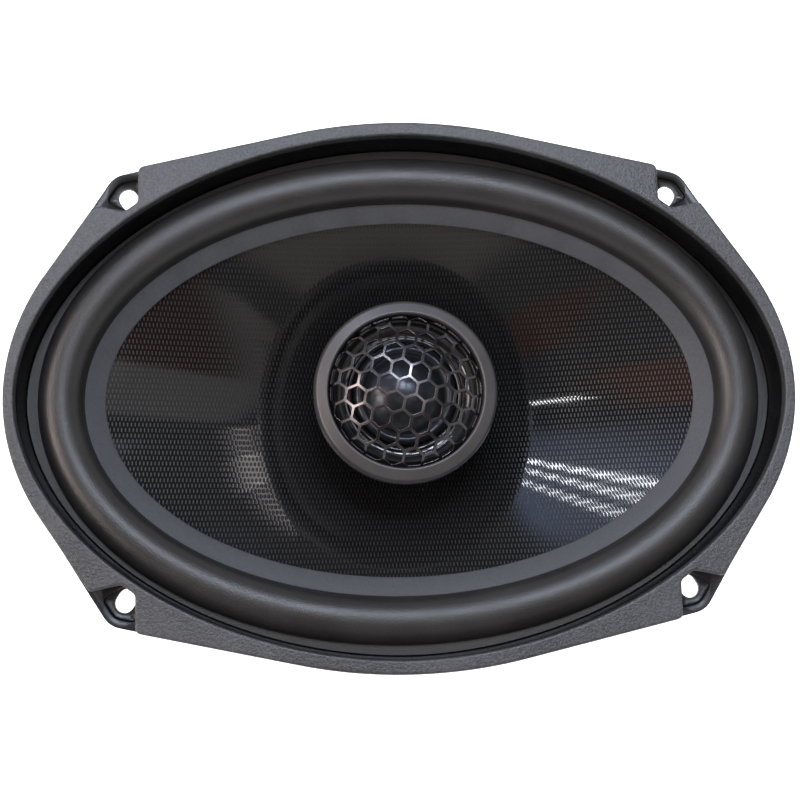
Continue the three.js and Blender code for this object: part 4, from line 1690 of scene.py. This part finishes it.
def rounded(corners: Sequence[np.ndarray], run: float) -> np.ndarray:
    """Rounds every corner of an outline that turns by more than a little."""
    made = []
    for i, here in enumerate(corners):
        before, after = corners[i - 1], corners[(i + 1) % len(corners)]
        shortest = min(np.linalg.norm(here - before), np.linalg.norm(after - here))
        if shortest < 2.2 * run:
            made.append(here)
        else:
            made += corner(before, here, after, run, 3)
    return np.array(made)


# ---- Terminals ----------------------------------------------------------------------------------------------


@dataclass
class Terminals:
    """The terminal board on its boss, two push-on tabs with rivets, the capacitor and the two tinsel leads.

    Attributes:
        board: Rounding of the board's corners.
        tab: Strip thickness and bend radius of a tab.
        head: Radius and height of a tab rivet's head.
        lead: Radius of a lead, and the number and twist of its strands.
        route: A lead's centreline on the +X side, from the board to the cone.
    """

    corner_run: float = 1.6
    strip: float = 0.8
    bend: float = 0.9
    lead: float = 0.55
    strands: int = 5
    route: tuple[tuple[float, float, float], ...] = (
        (9.0, -47.2, 38.7),
        (9.5, -50.6, 40.9),
        (11.2, -52.6, 43.2),
        (12.4, -55.6, 46.6),
        (12.8, -56.4, 50.6),
        (11.6, -53.0, 54.4),
        (9.4, -46.0, 55.2),
        (8.2, -40.6, 56.0),
        (8.0, -38.4, 57.9),
    )

    def board(self) -> bpy.types.Object:
        """Builds the board with its sawn, slightly broken edges.

        Returns:
            The board.
        """
        low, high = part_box("terminal_board")
        outline = np.array([(low.x, low.z), (high.x, low.z), (high.x, high.z), (low.x, high.z)]) / MM
        points: list[np.ndarray] = []
        for i in range(4):
            points += corner(outline[i - 1], outline[i], outline[(i + 1) % 4], self.corner_run)
        face, back = low.y / MM, high.y / MM
        net = Net()
        loops = []
        for drawn_in, y in ((0.2, back), (0, back - 0.2), (0, face + 0.2), (0.2, face), (0.8, face)):
            flat = inset(np.array(points), drawn_in)
            loops.append(net.loop(np.column_stack([flat[:, 0], np.full(len(flat), y), flat[:, 1]])))
        for outer, inner in zip(loops, loops[1:]):
            net.bridge(outer, inner)
        net.mesh.faces.new(loops[0])
        net.mesh.faces.new(loops[-1])
        return install(net.finish("board_plate"), PhenolicBoard(), "phenolic_board", "terminal_board")

    def tab(self, pole: str) -> list[bpy.types.Object]:
        """Builds one tab from a bent strip with a tapered tip, and its rivet.

        Args:
            pole: "positive" or "negative".

        Returns:
            The tab and the rivet.
        """
        node = f"terminal_{pole}"
        low, high = (corner_point / MM for corner_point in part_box(node))
        middle, half = (low.x + high.x) / 2, (high.x - low.x) / 2
        line_y, line_z = high.y - self.strip / 2, low.z + self.strip / 2
        path = [(line_y, high.z), (line_y, high.z - 0.5)]
        for t in np.linspace(0, math.pi / 2, 7):
            path.append((line_y - self.bend * (1 - math.cos(t)), line_z + self.bend * (1 - math.sin(t))))
        path += [(low.y + 1.6, line_z), (low.y + 0.5, line_z), (low.y, line_z)]
        widths = [half - 0.5, half] + [half] * 7 + [half, half - 0.7, half - 1.0]
        slim = [1.0] * (len(path) - 2) + [0.8, 0.35]
        net = Net()
        loops = []
        for i, (y, z) in enumerate(path):
            ahead = np.array(path[min(i + 1, len(path) - 1)]) - np.array(path[max(i - 1, 0)])
            side = np.array([-ahead[1], ahead[0]]) / np.linalg.norm(ahead) * self.strip / 2 * slim[i]
            ring = []
            for sx, st in ((-1, -0.6), (-0.96, -1), (0.96, -1), (1, -0.6), (1, 0.6), (0.96, 1), (-0.96, 1), (-1, 0.6)):
                ring.append((middle + sx * widths[i], y + side[0] * st, z + side[1] * st))
            loops.append(net.loop(np.array(ring)))
        for first, second in zip(loops, loops[1:]):
            net.bridge(first, second)
        net.mesh.faces.new(loops[0])
        net.mesh.faces.new(loops[-1])
        strip = install(net.finish(f"tab_{pole}", 40), TinPlate(), "tin_plate", node)
        rivet = f"terminal_rivet_{pole}"
        near, far = (corner_point / MM for corner_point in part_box(rivet))
        head, depth = (far.x - near.x) / 2, far.y - near.y
        profile = [(0, 0), (head * 0.6, 0.05), (head, 0.5), (head, 0.9), (1.0, 0.9), (1.0, depth), (0, depth)]
        pin = turned(f"tab_rivet_{pole}", profile, 0.25, angles=SMALL)
        turn = Matrix.Rotation(-math.pi / 2, 4, "X")
        centre = Vector(((near.x + far.x) / 2, near.y, (near.z + far.z) / 2)) * MM
        install(shifted(pin, Matrix.Translation(centre) @ turn), Brass(), "brass", rivet)
        return [strip, pin]

    def capacitor(self) -> bpy.types.Object:
        """Builds the electrolytic capacitor: a sleeved can with its crimped groove and dished top.

        Returns:
            The capacitor.
        """
        low, high = (corner_point / MM for corner_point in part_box("crossover_capacitor"))
        radius = (high.x - low.x) / 2
        profile = [
            (0, low.z + 0.5),
            (radius - 0.9, low.z + 0.5),
            (radius - 0.7, low.z),
            (radius, low.z + 0.2),
            (radius, low.z + 1.5),
            (radius - 0.55, low.z + 2.1),
            (radius, low.z + 2.7),
            (radius, high.z - 0.2),
            (radius - 0.7, high.z),
            (radius - 1.0, high.z - 0.3),
            (0, high.z - 0.3),
        ]
        piece = turned("capacitor_can", profile, 0.35, angles=np.linspace(0, TURN, 64, endpoint=False))
        centre = Vector(((low.x + high.x) / 2, (low.y + high.y) / 2, 0)) * MM
        shifted(piece, Matrix.Translation(centre))
        return install(piece, ShrinkSleeve(), "cap_sleeve", "crossover_capacitor")

    def tinsel(self, pole: str, side: int) -> bpy.types.Object:
        """Builds one twisted lead, which curves from the board to the cone.

        Args:
            pole: "positive" or "negative".
            side: 1 for the +X side and -1 for the other.

        Returns:
            The lead.
        """
        knots = [Vector((x * side, y, z)) for x, y, z in self.route]
        path: list[Vector] = []
        for i in range(len(knots) - 1):
            before, here = knots[max(i - 1, 0)], knots[i]
            there, after = knots[i + 1], knots[min(i + 2, len(knots) - 1)]
            for t in np.linspace(0, 1, 14, endpoint=False):
                a, b = here * 2, there - before
                c, d = before * 2 - here * 5 + there * 4 - after, here * 3 - before - there * 3 + after
                path.append((a + b * t + c * t * t + d * t**3) / 2)
        path.append(knots[-1])
        net = Net()
        loops = []
        sideways = Vector((1, 0, 0))
        travelled = 0.0
        for i, point in enumerate(path):
            ahead = (path[min(i + 1, len(path) - 1)] - path[max(i - 1, 0)]).normalized()
            sideways = (sideways - ahead * sideways.dot(ahead)).normalized()
            other = ahead.cross(sideways)
            travelled += (point - path[max(i - 1, 0)]).length
            ring = []
            for turn in np.linspace(0, TURN, 30, endpoint=False):
                lobe = abs(math.cos((turn + travelled * 1.1) * self.strands / 2))
                radius = self.lead * (0.78 + 0.22 * lobe)
                ring.append(point + sideways * radius * math.cos(turn) + other * radius * math.sin(turn))
            loops.append(net.loop(np.array(ring)))
        for first, second in zip(loops, loops[1:]):
            net.bridge(first, second)
        net.mesh.faces.new(loops[0])
        net.mesh.faces.new(loops[-1])
        piece = net.finish(f"braid_{pole}", 70)
        install(piece, TinselBraid(), "tinsel_braid", f"tinsel_lead_{pole}", body=None)
        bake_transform(piece)
        return piece


# ---- Studio -------------------------------------------------------------------------------------------------


@dataclass(frozen=True)
class Panel:
    """One narrow lamp of the studio, aimed at the cone from a distance.

    Attributes:
        name: What it is.
        first: Azimuth from +X and elevation of the middle of its one end, in degrees.
        last: The same for its other end.
        width: Size across, in degrees as the cone sees it.
        radiance: Brightness of its face.
        colour: sRGB colour of its light.
    """

    name: str
    first: tuple[float, float]
    last: tuple[float, float]
    width: float
    radiance: float
    colour: str = "#ffffff"


class Card(NamedTuple):
    """One large soft card of the studio, in degrees as the speaker sees it.

    Attributes:
        azimuth: Its two sides, counted from +X.
        elevation: Its lower and its upper edge.
        blur: Width over which its edges fade.
        radiance: Brightness of its face.
        colour: sRGB colour of its light.
    """

    azimuth: tuple[float, float]
    elevation: tuple[float, float]
    blur: float
    radiance: float
    colour: str = "#ffffff"


@dataclass
class Studio:
    """A pale light table in a white room, with black and coloured cards and a few tubes round the camera.

    Attributes:
        eye: Place of the camera.
        tilt: Its turns about X, Y and Z in degrees.
        lens: Focal length for a 36 mm frame.
        distance: How far out the lamps stand.
        room: Brightness of the dark upper part of the room, and of its white lower wall.
        wall: Elevations between which the white wall fades into the dark.
        table: How brightly the table glows.
        cards: The large cards, each in front of the ones before it.
        panels: The narrow lamps.
    """

    eye: tuple[float, float, float] = (-23.93, -56.38, 437.21)
    tilt: tuple[float, float, float] = (8.652, -3.373, -0.968)
    lens: float = 54.0
    distance: float = 6000.0
    room: tuple[float, float] = (0.14, 1.0)
    wall: tuple[float, float] = (8.0, 24.0)
    table: float = 0.74
    cards: tuple[Card, ...] = (
        Card((-175, -8), (0, 37), 6, 0.9),
        Card((-40, 36), (0, 42), 6, 0.8),
        Card((122, 200), (0, 36), 6, 0.9),
        Card((152, 204), (37, 51), 5, 12.0, "#ffefe6"),
        Card((-180, 180), (76, 90), 6, 0.6),
        Card((140, 220), (76, 88), 6, 1.4, "#fff4ee"),
        Card((-100, -62), (44, 58), 8, 0.7, "#fff4ea"),
        Card((-46, -33), (52, 58.5), 3, 0.7, "#fff4e8"),
        Card((-50, 27), (54.3, 70), 1.8, 0.72, "#fffaf6"),
        Card((-34, 52), (69, 84), 6, 2.6, "#fffaf6"),
        Card((-76, -3), (58, 69), 5, 0.16, "#ff9c68"),
        Card((-150, -120), (53, 64), 6, 0.3, "#ff9c68"),
        Card((146, 182), (68, 76), 4, 0.55, "#ff9c68"),
        Card((99, 124), (37, 60), 5, 2.2, "#b8d0ff"),
        Card((40, 100), (61, 82), 5, 2.6, "#e4edff"),
        Card((72, 138), (42, 64), 16, 1.2, "#c8d8ff"),
    )
    panels: tuple[Panel, ...] = (
        Panel("north_overhead", (62, 67), (104, 67), 8, 32.0, "#e6f0ff"),
        Panel("tube_one", (122.5, 44.5), (110, 58), 0.9, 40, "#f4f8ff"),
        Panel("tube_two", (118, 42), (106, 55), 0.7, 36, "#f4f8ff"),
        Panel("tube_three", (113, 39), (103, 51), 0.6, 32, "#f4f8ff"),
        Panel("small_tube", (162.2, 59), (160.8, 65), 0.9, 34),
        Panel("sill_one", (29, 53.5), (46, 47.5), 1.6, 3.2, "#fff6f4"),
        Panel("sill_two", (45, 47.8), (58, 41.8), 2.6, 4.0, "#fff6f4"),
        Panel("sill_three", (57, 42.2), (72, 33), 1.4, 3.2, "#fff6f4"),
        Panel("sill_four", (55, 33.5), (71, 28.5), 0.6, 2.6, "#fff6f4"),
    )

    def camera(self) -> None:
        """Sets the camera up."""
        data = bpy.data.cameras.new("camera")
        data.lens = self.lens
        data.sensor_width = 36
        data.clip_start = 0.01
        seen_by = bpy.data.objects.new("camera", data)
        bpy.context.scene.collection.objects.link(seen_by)
        rx, ry, rz = (math.radians(t) for t in self.tilt)
        turn = Matrix.Rotation(rz, 4, "Z") @ Matrix.Rotation(rx, 4, "X") @ Matrix.Rotation(ry, 4, "Y")
        seen_by.matrix_world = Matrix.Translation(Vector(self.eye) * MM) @ turn
        bpy.context.scene.camera = seen_by

    def lamp(self, panel: Panel) -> None:
        """Hangs one lamp.

        Args:
            panel: Where it hangs and how bright it is.
        """
        target = Vector((0, 0, 60))

        def out(azimuth: float, elevation: float) -> Vector:
            """The place in one direction, at the lamps' distance."""
            az, el = math.radians(azimuth), math.radians(elevation)
            flat = math.cos(el)
            return target + Vector((flat * math.cos(az), flat * math.sin(az), math.sin(el))) * self.distance

        start, end = out(*panel.first), out(*panel.last)
        centre = (start + end) / 2
        data = bpy.data.lights.new(panel.name, "AREA")
        data.shape = "RECTANGLE"
        data.size = (end - start).length * MM
        data.size_y = 2 * self.distance * math.tan(math.radians(panel.width / 2)) * MM
        data.color = linear(panel.colour)[:3]
        data.energy = panel.radiance * math.pi * data.size * data.size_y
        back = (centre - target).normalized()
        across = (end - start).normalized()
        across = (across - back * across.dot(back)).normalized()
        turn = Matrix((across, back.cross(across), back)).transposed().to_4x4()
        lamp = bpy.data.objects.new(panel.name, data)
        lamp.matrix_world = Matrix.Translation(centre * MM) @ turn
        lamp.visible_camera = False
        bpy.context.scene.collection.objects.link(lamp)

    def floor(self) -> None:
        """Lays the light table: a wide pale sheet that glows a little from below."""
        net = Net()
        rings = [net.loop(polar(ROUND, np.full(len(ROUND), r), -0.05)) for r in (0, 200, 900, 3000, 9000)]
        for inner, outer in zip(rings, rings[1:]):
            net.bridge(inner, outer)
        sheet = net.finish("light_table", upward=True)
        made = bpy.data.materials.new("OpalAcrylic")
        made.use_nodes = True
        shader = made.node_tree.nodes["Principled BSDF"]
        shader.inputs["Base Color"].default_value = linear("#f4f4f6")
        shader.inputs["Roughness"].default_value = 0.6
        shader.inputs["Emission Color"].default_value = linear("#ffffff")
        shader.inputs["Emission Strength"].default_value = self.table
        sheet.data.materials.append(made)

    def fade(self, tree: bpy.types.NodeTree, angle: bpy.types.NodeSocket, span: tuple[float, float], blur: float):
        """How far inside a span of angles a direction lies.

        Args:
            tree: The world's node tree.
            angle: The direction's angle in radians.
            span: The span's two ends in degrees.
            blur: Width over which each end fades, in degrees.

        Returns:
            A socket that is 1 inside the span and 0 outside.
        """
        middle, half = math.radians(sum(span) / 2), math.radians(span[1] - span[0]) / 2
        edge = math.radians(blur) / 2
        off = add_node(tree, "Math", {0: angle}, {1: middle}, operation="SUBTRACT").outputs[0]
        wrapped = add_node(tree, "Math", {0: off}, {1: -math.pi, 2: math.pi}, operation="WRAP").outputs[0]
        away = add_node(tree, "Math", {0: wrapped}, {}, operation="ABSOLUTE").outputs[0]
        values = {"From Min": half - edge, "From Max": half + edge, "To Min": 1.0, "To Max": 0.0}
        return add_node(tree, "MapRange", {"Value": away}, values, interpolation_type="SMOOTHSTEP").outputs[0]

    def world(self) -> None:
        """Makes the room: walls and cards in reflections, and plain white where the camera looks past the table."""
        world = bpy.data.worlds.new("room")
        world.use_nodes = True
        tree = world.node_tree
        tree.nodes.clear()
        direction = add_node(tree, "TexCoord", {}, {}).outputs["Generated"]
        parts = add_node(tree, "SeparateXYZ", {0: direction}, {}).outputs
        azimuth = add_node(tree, "Math", {0: parts[1], 1: parts[0]}, {}, operation="ARCTAN2").outputs[0]
        elevation = add_node(tree, "Math", {0: parts[2]}, {}, operation="ARCSINE").outputs[0]
        dark, bright = ([level * share for share in linear("#fdfcff")[:3]] + [1.0] for level in self.room)
        low, high = (math.radians(edge) for edge in self.wall)
        values = {"From Min": low, "From Max": high, "To Min": 1.0, "To Max": 0.0}
        share = add_node(tree, "MapRange", {"Value": elevation}, values, interpolation_type="SMOOTHSTEP").outputs[0]
        seen = add_node(tree, "Mix", {0: share}, {6: dark, 7: bright}, data_type="RGBA").outputs[2]
        for card in self.cards:
            sideways = self.fade(tree, azimuth, card.azimuth, card.blur)
            upwards = self.fade(tree, elevation, card.elevation, card.blur)
            inside = add_node(tree, "Math", {0: sideways, 1: upwards}, {}, operation="MULTIPLY").outputs[0]
            light = [card.radiance * share for share in linear(card.colour)[:3]] + [1.0]
            seen = add_node(tree, "Mix", {0: inside, 6: seen}, {7: light}, data_type="RGBA").outputs[2]
        path = add_node(tree, "LightPath", {}, {}).outputs["Is Camera Ray"]
        around = add_node(tree, "Background", {"Color": seen}, {"Strength": 1.0})
        pale = add_node(tree, "Background", {}, {"Color": linear("#ffffff"), "Strength": 1.0})
        both = add_node(tree, "MixShader", {0: path, 1: around.outputs[0], 2: pale.outputs[0]}, {})
        add_node(tree, "OutputWorld", {0: both.outputs[0]}, {})
        bpy.context.scene.world = world

    def build(self) -> None:
        """Sets up camera, room, table and lamps."""
        self.camera()
        self.world()
        self.floor()
        for panel in self.panels:
            self.lamp(panel)
        bpy.context.scene.view_settings.view_transform = "Standard"
        LOG.info("studio: %d cards, %d lamps", len(self.cards), len(self.panels))


def main() -> None:
    """Builds the studio and every sub-assembly, from the basket in."""
    Studio().build()
    basket = Basket()
    basket.build()
    basket.terminal_pad()
    Gasket().build()
    suspension = Suspension()
    suspension.surround()
    suspension.glued_lip()
    suspension.spider()
    cone = ConeAssembly()
    cone.cone()
    cone.coil()
    cone.seal()
    motor = Motor()
    motor.build()
    motor.rivets()
    tweeter = Tweeter()
    tweeter.stand()
    tweeter.bezel()
    tweeter.grille()
    tweeter.face_plate()
    tweeter.diaphragm()
    tweeter.motor()
    terminals = Terminals()
    terminals.board()
    terminals.capacitor()
    for pole, side in (("positive", 1), ("negative", -1)):
        terminals.tab(pole)
        terminals.tinsel(pole, side)


if __name__ == "__main__":
    main()
